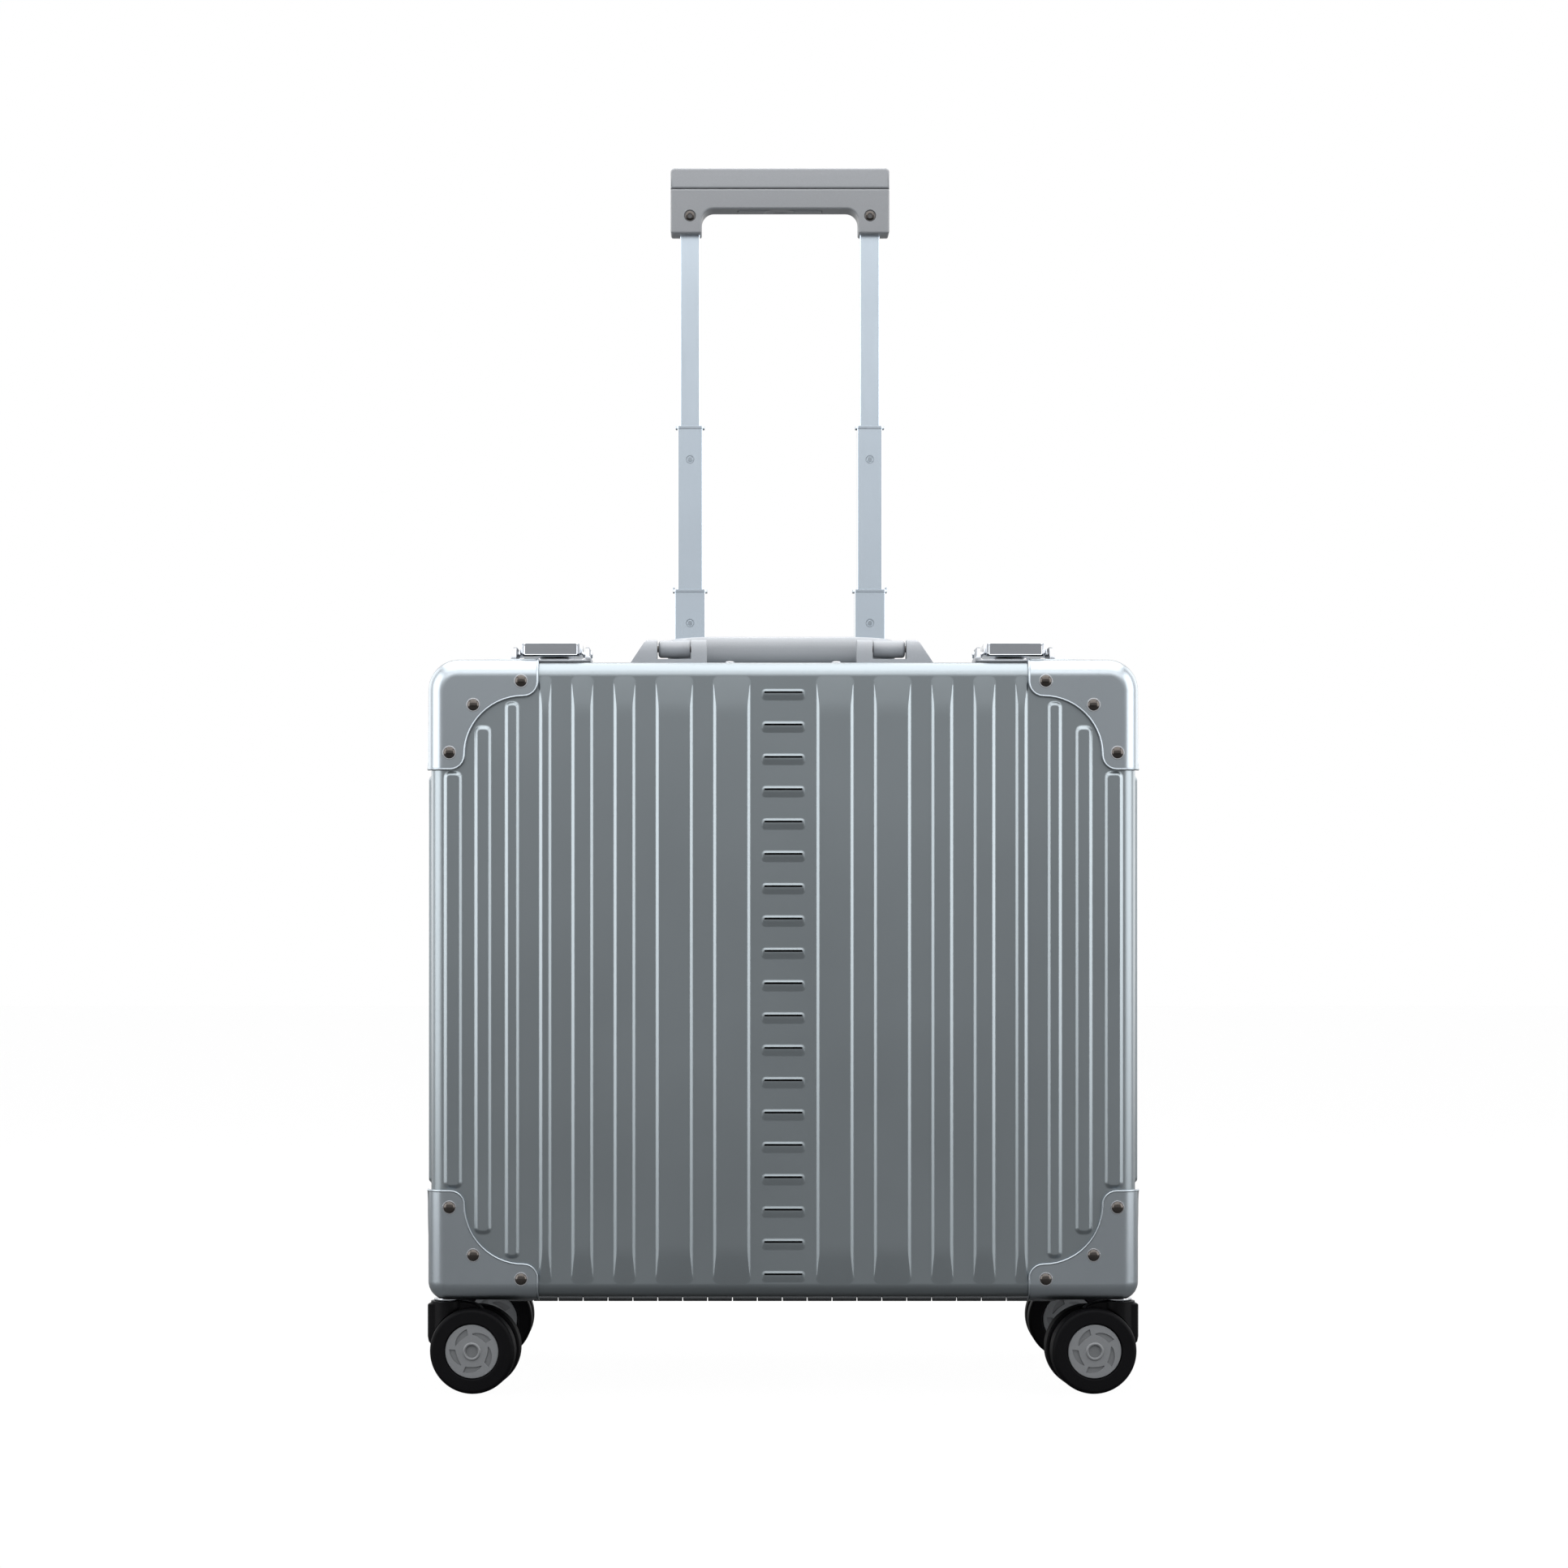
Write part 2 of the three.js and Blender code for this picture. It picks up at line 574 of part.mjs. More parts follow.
function lining(side, faceY) {
  const openY = PARTING_Y + side * (FRAME_BAND / 4);
  const middleY = faceY - LINING_OFFSET;
  const outside = caseHalf(side, LINING_OFFSET, openY, middleY);
  return outside.subtract(caseHalf(side, LINING_OFFSET - LINING, openY - side * CUT, middleY));
}

// ---- piano hinge --------------------------------------------------------------------------------

const HINGE_LENGTH = HINGE_KNUCKLES * HINGE_PITCH;
const LEAF_TOP = CASE_BOTTOM - FRAME_PROUD - SEAT_GAP;
const HINGE_Z = LEAF_TOP - HINGE_BARREL_RADIUS;

function hingeLeaf(side) {
  const near = PARTING_Y + side * (HINGE_BARREL_RADIUS + HINGE_LEAF_GAP);
  const far = near + side * HINGE_LEAF_WIDTH;
  const half = HINGE_LENGTH / 2;
  const leafBottom = LEAF_TOP - HINGE_LEAF;
  const pieces = [box(-half, half, Math.min(near, far), Math.max(near, far), leafBottom, LEAF_TOP)];
  for (let i = side === FRONT ? 0 : 1; i < HINGE_KNUCKLES; i += 2) {
    const from = -half + i * HINGE_PITCH + HINGE_KNUCKLE_GAP / 2;
    const to = from + HINGE_PITCH - HINGE_KNUCKLE_GAP;
    const bridge = near + (side * HINGE_LEAF_WIDTH) / 2;
    const [low, high] = [Math.min(PARTING_Y, bridge), Math.max(PARTING_Y, bridge)];
    pieces.push(prism(circle(PARTING_Y, HINGE_Z, HINGE_BARREL_RADIUS), 'x', from, to));
    pieces.push(box(from, to, low, high, leafBottom, LEAF_TOP));
  }
  const boreRadius = HINGE_PIN_RADIUS + HINGE_RUNNING_GAP;
  const bore = boreCircle(PARTING_Y, HINGE_Z, boreRadius, HINGE_BORE_SIDES);
  return union(pieces).subtract(prism(bore, 'x', -half - CUT, half + CUT));
}

// ---- trolley ------------------------------------------------------------------------------------

const nextTube = (tube, length) => ({
  width: tube.width + 2 * (TUBE_GAP + TUBE_WALL),
  depth: tube.depth + 2 * (TUBE_GAP + TUBE_WALL),
  length,
});
const MIDDLE_TUBE = nextTube(UPPER_TUBE, MIDDLE_TUBE_LENGTH);
const LOWER_TUBE = nextTube(MIDDLE_TUBE, LOWER_TUBE_LENGTH);
const CHANNEL = nextTube(LOWER_TUBE, 0);
const LOWER_TOP = CASE_TOP + LOWER_EXPOSED;
const MIDDLE_TOP = LOWER_TOP + MIDDLE_EXPOSED;
const GRIP_BOTTOM = MIDDLE_TOP + UPPER_EXPOSED;
const CHANNEL_BOTTOM = CASE_BOTTOM + CHANNEL_FOOT_GAP;
const FOOT_DEPTH = CHANNEL.depth + 2 * (SEAT_GAP + FOOT_WALL);

// A tube's outline, grown all round, as a full solid between two heights.
function tubeSolid(tube, grow, x, z0, z1) {
  const [width, depth] = [tube.width + 2 * grow, tube.depth + 2 * grow];
  const outline = roundedRectangle(width, depth, TUBE_CORNER + grow / 2, x, TROLLEY_Y);
  return prism(outline, 'z', z0, z1, { curveSegments: 1 });
}

function hollowTube(tube, x, z0, z1) {
  const outside = tubeSolid(tube, 0, x, z0, z1);
  return outside.subtract(tubeSolid(tube, -TUBE_WALL, x, z0 - CUT, z1 + CUT));
}

// A moving stage: tube, collar with a catch lug on its outer side, and the glide stud on its face.
function stageTube(tube, inner, x, top, withLug) {
  const [width, depth] = [tube.width + 2 * COLLAR_PROUD, tube.depth + 2 * COLLAR_PROUD];
  const collarShape = roundedRectangle(width, depth, TUBE_CORNER, x, TROLLEY_Y);
  const collar = prism(collarShape, 'z', top - COLLAR_HEIGHT, top, { curveSegments: 1 });
  const face = TROLLEY_Y - tube.depth / 2;
  const studShape = circle(x, top - GLIDE_STUD_DROP, GLIDE_STUD_RADIUS);
  const stud = prism(studShape, 'y', face - GLIDE_STUD_PROUD, face + TUBE_WALL / 2);
  const pieces = [tubeSolid(tube, 0, x, top - tube.length, top), collar, stud];
  if (withLug) {
    const outer = x + (Math.sign(x) * width) / 2;
    const inside = outer - Math.sign(x) * COLLAR_LUG.width;
    const [left, right] = [Math.min(outer, inside), Math.max(outer, inside)];
    const [front, back] = [TROLLEY_Y - COLLAR_LUG.depth / 2, TROLLEY_Y + COLLAR_LUG.depth / 2];
    pieces.push(box(left, right, front, back, top - COLLAR_HEIGHT, top + COLLAR_LUG.height));
  }
  return union(pieces).subtract(tubeSolid(inner, TUBE_GAP, x, top - tube.length - CUT, top + CUT));
}

const BEZEL_WIDTH = TROLLEY_SPACING + CHANNEL.width + 2 * BEZEL.margin;

function trolleyBezel() {
  const from = CASE_TOP + SEAT_GAP;
  const to = from + BEZEL.height;
  const outline = roundedRectangle(BEZEL_WIDTH, BEZEL.depth, BEZEL.corner, 0, TROLLEY_Y);
  const plate = prism(outline, 'z', from, to, bevelled(BEZEL.bevel));
  const opening = (x) => tubeSolid(LOWER_TUBE, TUBE_GAP, x, from - CUT, to + CUT);
  return plate.subtract(union([opening(-TUBE_X), opening(TUBE_X)]));
}

// The moulded block on the bottom wall that both channels stand in.
function trolleyFoot() {
  const from = CASE_BOTTOM + SHEET + SEAT_GAP;
  const to = from + FOOT_HEIGHT;
  const outline = roundedRectangle(BEZEL_WIDTH, FOOT_DEPTH, TUBE_CORNER, 0, TROLLEY_Y);
  const block = prism(outline, 'z', from, to, { curveSegments: 1 });
  const socket = (x) => tubeSolid(CHANNEL, SEAT_GAP, x, CHANNEL_BOTTOM - SEAT_GAP, to + CUT);
  return block.subtract(union([socket(-TUBE_X), socket(TUBE_X)]));
}

function gripYoke() {
  const barBottom = GRIP_BOTTOM + GRIP_LEG;
  const barTop = barBottom + GRIP_BAR;
  const half = GRIP_WIDTH / 2;
  const inner = half - GRIP_LEG_WIDTH;
  const radius = GRIP_INNER_RADIUS;
  const outline = new THREE.Shape();
  outline.moveTo(-half, GRIP_BOTTOM);
  outline.lineTo(-inner, GRIP_BOTTOM);
  outline.absarc(-inner + radius, barBottom - radius, radius, Math.PI, Math.PI / 2, true);
  outline.absarc(inner - radius, barBottom - radius, radius, Math.PI / 2, 0, true);
  outline.lineTo(inner, GRIP_BOTTOM);
  outline.lineTo(half, GRIP_BOTTOM);
  outline.lineTo(half, barTop);
  outline.lineTo(-half, barTop);
  const [front, back] = [TROLLEY_Y - GRIP_DEPTH / 2, TROLLEY_Y + GRIP_DEPTH / 2];
  const cuts = [-TUBE_X, TUBE_X].flatMap((x) => {
    const screw = circle(x, GRIP_BOTTOM + GRIP_SCREW_RISE, GRIP_SCREW_RADIUS);
    return [
      tubeSolid(UPPER_TUBE, SEAT_GAP, x, GRIP_BOTTOM - CUT, GRIP_BOTTOM + GRIP_SOCKET_DEPTH),
      prism(screw, 'y', front - CUT, front + GRIP_SCREW_DEPTH),
    ];
  });
  const [pocketLength, pocketDepth] = [BUTTON.length + 2 * BUTTON.gap, BUTTON.depth + 2 * BUTTON.gap];
  const pocket = roundedRectangle(pocketLength, pocketDepth, BUTTON.corner, 0, TROLLEY_Y);
  const pocketTop = barBottom - BUTTON.proud + BUTTON.height + BUTTON_TRAVEL + SEAT_GAP;
  cuts.push(prism(pocket, 'z', barBottom - GRIP_INNER_RADIUS, pocketTop, { curveSegments: 1 }));
  return prism(outline, 'y', front, back, bevelled(GRIP_BEVEL)).subtract(union(cuts));
}

function gripCap() {
  const bottom = GRIP_BOTTOM + GRIP_LEG + GRIP_BAR + SEAT_GAP;
  const [half, top, radius] = [GRIP_WIDTH / 2, bottom + GRIP_CAP, GRIP_CAP_RADIUS];
  const outline = new THREE.Shape();
  outline.moveTo(-half, bottom);
  outline.lineTo(half, bottom);
  outline.absarc(half - radius, top - radius, radius, 0, Math.PI / 2);
  outline.absarc(-half + radius, top - radius, radius, Math.PI / 2, Math.PI);
  const [front, back] = [TROLLEY_Y - GRIP_DEPTH / 2, TROLLEY_Y + GRIP_DEPTH / 2];
  return prism(outline, 'y', front, back, bevelled(GRIP_BEVEL));
}

function gripButton() {
  const bottom = GRIP_BOTTOM + GRIP_LEG - BUTTON.proud;
  const outline = roundedRectangle(BUTTON.length, BUTTON.depth, BUTTON.corner, 0, TROLLEY_Y);
  const settings = { ...bevelled(BUTTON.bevel), curveSegments: 1 };
  const pad = prism(outline, 'z', bottom, bottom + BUTTON.height, settings);
  const scoop = circle(0, bottom - BUTTON.length + BUTTON_SCOOP, BUTTON.length, SCOOP_SIDES);
  return pad.subtract(prism(scoop, 'y', TROLLEY_Y - BUTTON.depth, TROLLEY_Y + BUTTON.depth));
}

// ---- carry handle -------------------------------------------------------------------------------

const HANDLE_Z = CASE_TOP + HANDLE_RISE;
const BARREL_OUTER = HANDLE_BARREL.inner + HANDLE_BARREL.length;

const handleRod = (radius, from, to) => prism(circle(HANDLE_Y, HANDLE_Z, radius), 'x', from, to);

// The right bracket: a block inside the barrel, a low web under it and a ramped wing outside it.
function handleBracket() {
  const base = CASE_TOP + SEAT_GAP;
  const web = CASE_TOP + BRACKET.web;
  const top = CASE_TOP + BRACKET.top;
  const [blockOut, wingIn] = [HANDLE_BARREL.inner - HANDLE_SIDE_GAP, BARREL_OUTER + HANDLE_SIDE_GAP];
  const front = polygon([
    [blockOut - BRACKET.block, base],
    [wingIn + BRACKET.wing, base],
    [wingIn + BRACKET.wingTop, top],
    [wingIn, top],
    [wingIn, web],
    [blockOut, web],
    [blockOut, top],
    [blockOut - BRACKET.block, top],
  ]);
  const half = BRACKET.depth / 2;
  const { flat, bow, shoulder, drop } = BRACKET_CROWN;
  const shoulderTop = top - drop;
  const side = new THREE.Shape();
  side.moveTo(HANDLE_Y - half, base);
  side.lineTo(HANDLE_Y + half, base);
  side.lineTo(HANDLE_Y + half, web);
  side.bezierCurveTo(HANDLE_Y + shoulder, shoulderTop, HANDLE_Y + bow, top, HANDLE_Y + flat, top);
  side.lineTo(HANDLE_Y - flat, top);
  side.bezierCurveTo(HANDLE_Y - bow, top, HANDLE_Y - shoulder, shoulderTop, HANDLE_Y - half, web);
  const form = prism(front, 'y', HANDLE_Y - half, HANDLE_Y + half)
    .intersect(prism(side, 'x', 0, CASE_HALF_WIDTH));
  const [boreStart, boreEnd] = [blockOut - PIN_BITE - SEAT_GAP, wingIn + PIN_BITE + SEAT_GAP];
  return form.subtract(handleRod(HANDLE_PIN_RADIUS + HANDLE_RUNNING_GAP, boreStart, boreEnd));
}

function handlePin() {
  const from = HANDLE_BARREL.inner - HANDLE_SIDE_GAP - PIN_BITE;
  const to = BARREL_OUTER + HANDLE_SIDE_GAP + PIN_BITE;
  return handleRod(HANDLE_PIN_RADIUS, from, to);
}

// The bail: two barrels on the pins, arms leading back from them, and a crowned bar between the arms.
function carryHandle() {
  const armX = (HANDLE_BARREL.inner + BARREL_OUTER) / 2;
  const bendStart = vector(armX, HANDLE_REACH - HANDLE_BAR.bend, 0);
  const bendCorner = vector(armX, HANDLE_REACH, 0);
  const bendEnd = vector(armX - HANDLE_BAR.bend, HANDLE_REACH, 0);
  const path = new THREE.CurvePath();
  path.add(new THREE.LineCurve3(vector(armX, 0, 0), bendStart));
  path.add(new THREE.QuadraticBezierCurve3(bendStart, bendCorner, bendEnd));
  path.add(new THREE.LineCurve3(bendEnd, vector(0, HANDLE_REACH, 0)));
  const half = HANDLE_STOPS.map((stop) => {
    const centre = path.getPointAt(stop);
    const along = path.getTangentAt(stop);
    const across = vector(-along.y, along.x, 0).normalize();
    const width = THREE.MathUtils.lerp(HANDLE_ARM.width, HANDLE_BAR.depth, stop);
    const crown = Math.sin((stop * Math.PI) / 2);
    const height = THREE.MathUtils.lerp(HANDLE_ARM.height, HANDLE_BAR.height, crown);
    const lift = HANDLE_BAR.lift * stop;
    return Array.from({ length: ROD_SIDES }, (_, i) => {
      const turn = (2 * Math.PI * (i + 0.5)) / ROD_SIDES;
      const point = centre.clone().addScaledVector(across, (width / 2) * Math.cos(turn));
      return vector(point.x, point.y + HANDLE_Y, HANDLE_Z + lift + (height / 2) * Math.sin(turn));
    });
  });
  const reflected = (ring) => ring.map((point) => vector(-point.x, point.y, point.z));
  const otherHalf = half.slice(0, -1).reverse().map(reflected);
  const barrel = handleRod(HANDLE_BARREL.radius, HANDLE_BARREL.inner, BARREL_OUTER);
  const boreRadius = HANDLE_PIN_RADIUS + HANDLE_RUNNING_GAP;
  const bore = handleRod(boreRadius, HANDLE_BARREL.inner - CUT, BARREL_OUTER + CUT);
  return union([loft([...half, ...otherHalf]), barrel, mirrored(barrel, -1)])
    .subtract(bore)
    .subtract(mirrored(bore, -1));
}

// ---- draw latches: base and lever on the lid, keeper on the rear frame --------------------------

const LATCH_BACK = PARTING_Y - LATCH_PARTING_MARGIN;
const LATCH_FRONT = LATCH_BACK - LATCH_LENGTH;
const LATCH_SEAT = FRAME_TOP + SEAT_GAP;
const LEVER_Y = LATCH_BACK - LEVER_PIVOT.inset;
const LEVER_Z = LATCH_SEAT + LEVER_PIVOT.rise;
const CLAW_Y = LEVER_Y - CLAW.pivotBack;
const CLAW_Z = LATCH_SEAT + CLAW.pivotRise;

const latchRod = (y, z, radius, half) => prism(circle(y, z, radius), 'x', -half, half);

function latchBase() {
  const plateTop = LATCH_SEAT + LATCH_PLATE;
  const cheekIn = LATCH_HALF_WIDTH - CHEEK.width;
  const front = polygon([
    [-LATCH_HALF_WIDTH, LATCH_SEAT],
    [LATCH_HALF_WIDTH, LATCH_SEAT],
    [LATCH_HALF_WIDTH - CHEEK.draft, LATCH_SEAT + CHEEK.height],
    [cheekIn, LATCH_SEAT + CHEEK.height],
    [cheekIn, plateTop],
    [-cheekIn, plateTop],
    [-cheekIn, LATCH_SEAT + CHEEK.height],
    [-LATCH_HALF_WIDTH + CHEEK.draft, LATCH_SEAT + CHEEK.height],
  ]);
  const side = polygon([
    [LATCH_FRONT, LATCH_SEAT],
    [LATCH_BACK, LATCH_SEAT],
    [LATCH_BACK, LATCH_SEAT + CHEEK.height - CHEEK.chamfer],
    [LATCH_BACK - CHEEK.chamfer, LATCH_SEAT + CHEEK.height],
    [LATCH_FRONT + CHEEK.nose, LATCH_SEAT + CHEEK.height],
    [LATCH_FRONT, plateTop + CHEEK.noseHeight],
  ]);
  const boreRadius = LEVER_PIVOT.radius + LATCH_RUNNING_GAP;
  return prism(front, 'y', LATCH_FRONT, LATCH_BACK)
    .intersect(prism(side, 'x', -LATCH_HALF_WIDTH, LATCH_HALF_WIDTH))
    .subtract(latchRod(LEVER_Y, LEVER_Z, boreRadius, LATCH_HALF_WIDTH - CHEEK.draft));
}

// Sections of the lever from its finger end to its pivot end, each a rounded trapezium.
function latchLever() {
  const low = LATCH_SEAT + LEVER.rise;
  const section = (y, half, bottom, top) => {
    const shoulder = (top - bottom) * LEVER_SHOULDER;
    const outline = [
      [half - LEVER.edge, bottom],
      [half, bottom + LEVER.edge],
      [half, top - shoulder],
      [half - shoulder / 2, top - shoulder / 4],
      [half - shoulder, top],
    ];
    const other = outline.map(([x, z]) => [-x, z]).reverse();
    return [...outline, ...other].map(([x, z]) => vector(x, y, z));
  };
  const high = low + LEVER.height;
  const finger = LATCH_FRONT - LEVER_FINGER.overhang;
  const { halfWidth, bevel } = LEVER;
  const tail = LEVER_TAIL;
  const body = loft([
    section(finger, halfWidth - bevel, low + LEVER_FINGER.rise, high - bevel),
    section(finger + bevel, halfWidth, low, high),
    section(LEVER_Y - LEVER_PIVOT.radius, halfWidth, low, high - LEVER.slope),
    section(LEVER_Y + tail.length, halfWidth - tail.taper, low + tail.rise, high - tail.drop),
  ]);
  const slotHalf = CLAW.halfWidth + LATCH_RUNNING_GAP;
  const slotFront = CLAW_Y - CLAW.eye - LATCH_EYE_GAP;
  const slot = box(-slotHalf, slotHalf, slotFront, LATCH_BACK + CUT, LATCH_SEAT, high + CUT);
  const stubIn = slotHalf + LEVER_PIVOT.bite;
  const stubOut = LATCH_HALF_WIDTH - CHEEK.draft - LEVER_PIVOT.endGap;
  const stub = prism(circle(LEVER_Y, LEVER_Z, LEVER_PIVOT.radius), 'x', stubIn, stubOut);
  const clawHole = latchRod(CLAW_Y, CLAW_Z, CLAW_PIN.radius + LATCH_RUNNING_GAP, slotHalf + CLAW_PIN.bite + CUT);
  return union([body.subtract(slot), stub, mirrored(stub, -1)]).subtract(clawHole);
}

// The draw claw: an eye on the lever, a strap over the parting line, and a tip above the keeper's lip.
function latchClaw() {
  const tipBack = PARTING_Y + KEEPER.setback + KEEPER.depth - CLAW_TIP.chamfer;
  const tipFront = tipBack - CLAW_TIP.length;
  const tipLow = LATCH_SEAT + KEEPER.lip + SEAT_GAP;
  const strapLow = tipLow + CLAW_TIP.drop;
  const strapHigh = strapLow + CLAW.thickness;
  const strapStart = CLAW_Y + CLAW_STRAP.start;
  const landing = LATCH_BACK + CLAW_STRAP.landing;
  const side = polygon([
    [CLAW_Y, CLAW_Z - CLAW.eye],
    [strapStart, CLAW_Z - CLAW.eye],
    [landing, strapLow],
    [tipFront - CLAW_TIP.slope, strapLow],
    [tipFront, tipLow],
    [tipBack, tipLow],
    [tipBack, strapHigh - CLAW_TIP.nose],
    [tipBack - CLAW_TIP.chamfer, strapHigh],
    [landing, strapHigh],
    [strapStart, CLAW_Z + CLAW.eye - CLAW_STRAP.drop],
    [CLAW_Y, CLAW_Z + CLAW.eye],
  ]);
  const strap = prism(side, 'x', -CLAW.halfWidth, CLAW.halfWidth);
  const eye = latchRod(CLAW_Y, CLAW_Z, CLAW.eye, CLAW.halfWidth);
  const pin = latchRod(CLAW_Y, CLAW_Z, CLAW_PIN.radius, CLAW.halfWidth + LATCH_RUNNING_GAP + CLAW_PIN.bite);
  return union([strap, eye, pin]);
}

function latchKeeper() {
  const front = PARTING_Y + KEEPER.setback;
  const lipTop = LATCH_SEAT + KEEPER.lip;
  const side = polygon([
    [front, LATCH_SEAT],
    [front + KEEPER.depth, LATCH_SEAT],
    [front + KEEPER.depth, LATCH_SEAT + KEEPER.plate],
    [front + KEEPER_HOOK_ROOT, LATCH_SEAT + KEEPER.plate],
    ...KEEPER_HOOK.map(([back, drop]) => [front + back, lipTop - drop]),
  ]);
  return prism(side, 'x', -KEEPER.halfWidth, KEEPER.halfWidth);
}

// ---- casters, drawn about their swivel axis with the wheels trailing towards +X -----------------

const PIVOT_TOP = CASE_BOTTOM - GUARD_OFFSET - SEAT_GAP;
const FORK_TOP = PIVOT_TOP - PIVOT_BOSS.height - SEAT_GAP;

function casterPivot() {
  const stud = PIVOT_TOP - PIVOT_BOSS.height - PIVOT_STUD.length;
  const profile = [
    [0, PIVOT_TOP],
    [PIVOT_BOSS.radius, PIVOT_TOP],
    [PIVOT_BOSS.radius, PIVOT_TOP - PIVOT_BOSS.height],
    [PIVOT_STUD.radius, PIVOT_TOP - PIVOT_BOSS.height],
    [PIVOT_STUD.radius, stud],
    [0, stud],
  ];
  return turned(profile, new THREE.Matrix4());
}

// Swivel barrel, the web between the wheels with its flat spine behind, and the axle.
function casterFork() {
  const axleZ = WHEEL_RADIUS;
  const top = FORK_TOP;
  const [[tailX, tailRise], ...underside] = FORK_UNDERSIDE;
  const outline = new THREE.Shape();
  outline.moveTo(-FORK_NOSE.reach, top - FORK_NOSE.chamfer);
  outline.lineTo(-FORK_NOSE.reach + FORK_NOSE.chamfer, top);
  outline.lineTo(FORK_TAIL_CURVE.start, top);
  outline.quadraticCurveTo(FORK_TAIL_CURVE.reach, top - FORK_TAIL_CURVE.drop, tailX, axleZ + tailRise);
  for (const [x, rise] of underside) outline.lineTo(x, axleZ + rise);
  const web = prism(outline, 'y', -FORK_WEB / 2, FORK_WEB / 2);
  const barrelBottom = axleZ + FORK_BARREL_RISE;
  const barrel = turned([
    [0, top],
    [FORK_RADIUS, top],
    [FORK_RADIUS, barrelBottom],
    [0, barrelBottom],
  ], new THREE.Matrix4(), SWIVEL_SIDES);
  const archShape = circle(CASTER_TRAIL, axleZ, WHEEL_RADIUS + FORK_ARCH_GAP, WHEEL_SIDES);
  const arch = (from, to) => prism(archShape, 'y', from, to);
  const space = FORK_WEB / 2;
  const reach = FORK_RADIUS + CUT;
  const axleShape = circle(CASTER_TRAIL, axleZ, AXLE_RADIUS, SWIVEL_SIDES);
  const axle = prism(axleShape, 'y', -AXLE_LENGTH / 2, AXLE_LENGTH / 2);
  const boreRadius = PIVOT_STUD.radius + PIVOT_STUD.gap;
  const bore = turned([
    [0, top + CUT],
    [boreRadius, top + CUT],
    [boreRadius, top - PIVOT_STUD.length],
    [0, top - PIVOT_STUD.length],
  ], new THREE.Matrix4());
  const rounded = barrel.subtract(arch(space, reach)).subtract(arch(-reach, -space));
  return web.add(rounded).subtract(bore).add(axle);
}

// A wheel with its tyre, hub and cap, axis along Y through the origin, cap facing -Y.
function casterWheel() {
  const [inner, outer] = [-WHEEL_WIDTH / 2, WHEEL_WIDTH / 2];
  const bore = AXLE_RADIUS + AXLE_GAP;
  const boreEnd = inner + AXLE_LENGTH / 2 - WHEEL_SPACE / 2 + AXLE_GAP;
  const profile = [
    [0, outer],
    [HUB_BOSS_RADIUS, outer],
    [HUB_RING_RADIUS, outer - HUB_DISH],
    [HUB_CAP_RADIUS, outer - HUB_DISH],
    [HUB_CAP_RADIUS + 1, outer],
    [WHEEL_RADIUS - WHEEL_BEVEL, outer],
    [WHEEL_RADIUS, outer - WHEEL_BEVEL],
    [WHEEL_RADIUS, inner],
    [bore, inner],
    [bore, boreEnd],
    [0, boreEnd],
  ];
  return turned(profile, onWall(vector(0, -1, 0), 0, 0, 0), WHEEL_SIDES);
}

// ---- the assembly -------------------------------------------------------------------------------

function finish(color, roughness, metalness) {
  return new THREE.MeshStandardMaterial({ color, roughness, metalness });
}

const MATERIALS = {
  shell: finish(0x7a8187, 0.38, 1),
  guard: finish(0x858c92, 0.34, 1),
  frame: finish(0x9ba1a6, 0.3, 1),
  tube: finish(0xb6c0ca, 0.32, 1),
  grip: finish(0xa0a4a9, 0.45, 0.2),
  hardware: finish(0xa8acb2, 0.3, 1),
  steel: finish(0x8f9296, 0.22, 1),
  plastic: finish(0x1b1b1d, 0.5, 0),
  wheel: finish(0x141416, 0.6, 0),
  lining: finish(0x2b2d31, 0.95, 0),
  rubber: finish(0x17181a, 0.8, 0),
};

const suitcase = new THREE.Group();

function piece(name, body, material, parent = suitcase) {
  const mesh = new THREE.Mesh(geometryOf(body), MATERIALS[material]);
  mesh.name = name;
  parent.add(mesh);
  return mesh;
}

function addShells() {
  piece('front_shell', pressedShell(FRONT).add(union(slats())), 'shell');
  const hole = (x) => tubeSolid(CHANNEL, SEAT_GAP, x, CASE_TOP - SHEET - CUT, CASE_TOP + CUT);
  const holes = union([hole(-TUBE_X), hole(TUBE_X)]);
  piece('rear_shell', pressedShell(REAR).subtract(holes), 'shell');
}

function addFrames() {
  const grooveEnd = PARTING_Y - PARTING_GAP / 2 - SEAL_DEPTH;
  const groove = sealRing(SEAT_GAP / 2, grooveEnd - SEAT_GAP / 2, PARTING_Y);
  piece('front_frame', closingFrame(FRONT).subtract(groove), 'frame');
  piece('rear_frame', closingFrame(REAR), 'frame');
  piece('frame_seal', sealRing(0, grooveEnd, PARTING_Y - PARTING_GAP / 4), 'rubber');
}

function addLinings() {
  piece('front_lining', lining(FRONT, FACE_Y - SHEET - SEAT_GAP), 'lining');
  piece('rear_lining', lining(REAR, TROLLEY_Y - FOOT_DEPTH / 2 - SEAT_GAP), 'lining');
}

function addGuards() {
  for (const [levelName, level] of [['top', 1], ['bottom', -1]]) {
    const guard = cornerGuard(level);
    for (const [sideName, sideX] of Object.entries(SIDES)) {
      piece(`front_guard_${levelName}_${sideName}`, mirrored(guard, sideX, -1), 'guard');
      piece(`rear_guard_${levelName}_${sideName}`, mirrored(guard, sideX, 1), 'guard');
    }
  }
}

function addHinge() {
  piece('hinge_leaf_front', hingeLeaf(FRONT), 'steel');
  piece('hinge_leaf_rear', hingeLeaf(REAR), 'steel');
  const half = HINGE_LENGTH / 2;
  const section = circle(PARTING_Y, HINGE_Z, HINGE_PIN_RADIUS, HINGE_BORE_SIDES);
  piece('hinge_pin', prism(section, 'x', -half, half), 'steel');
}

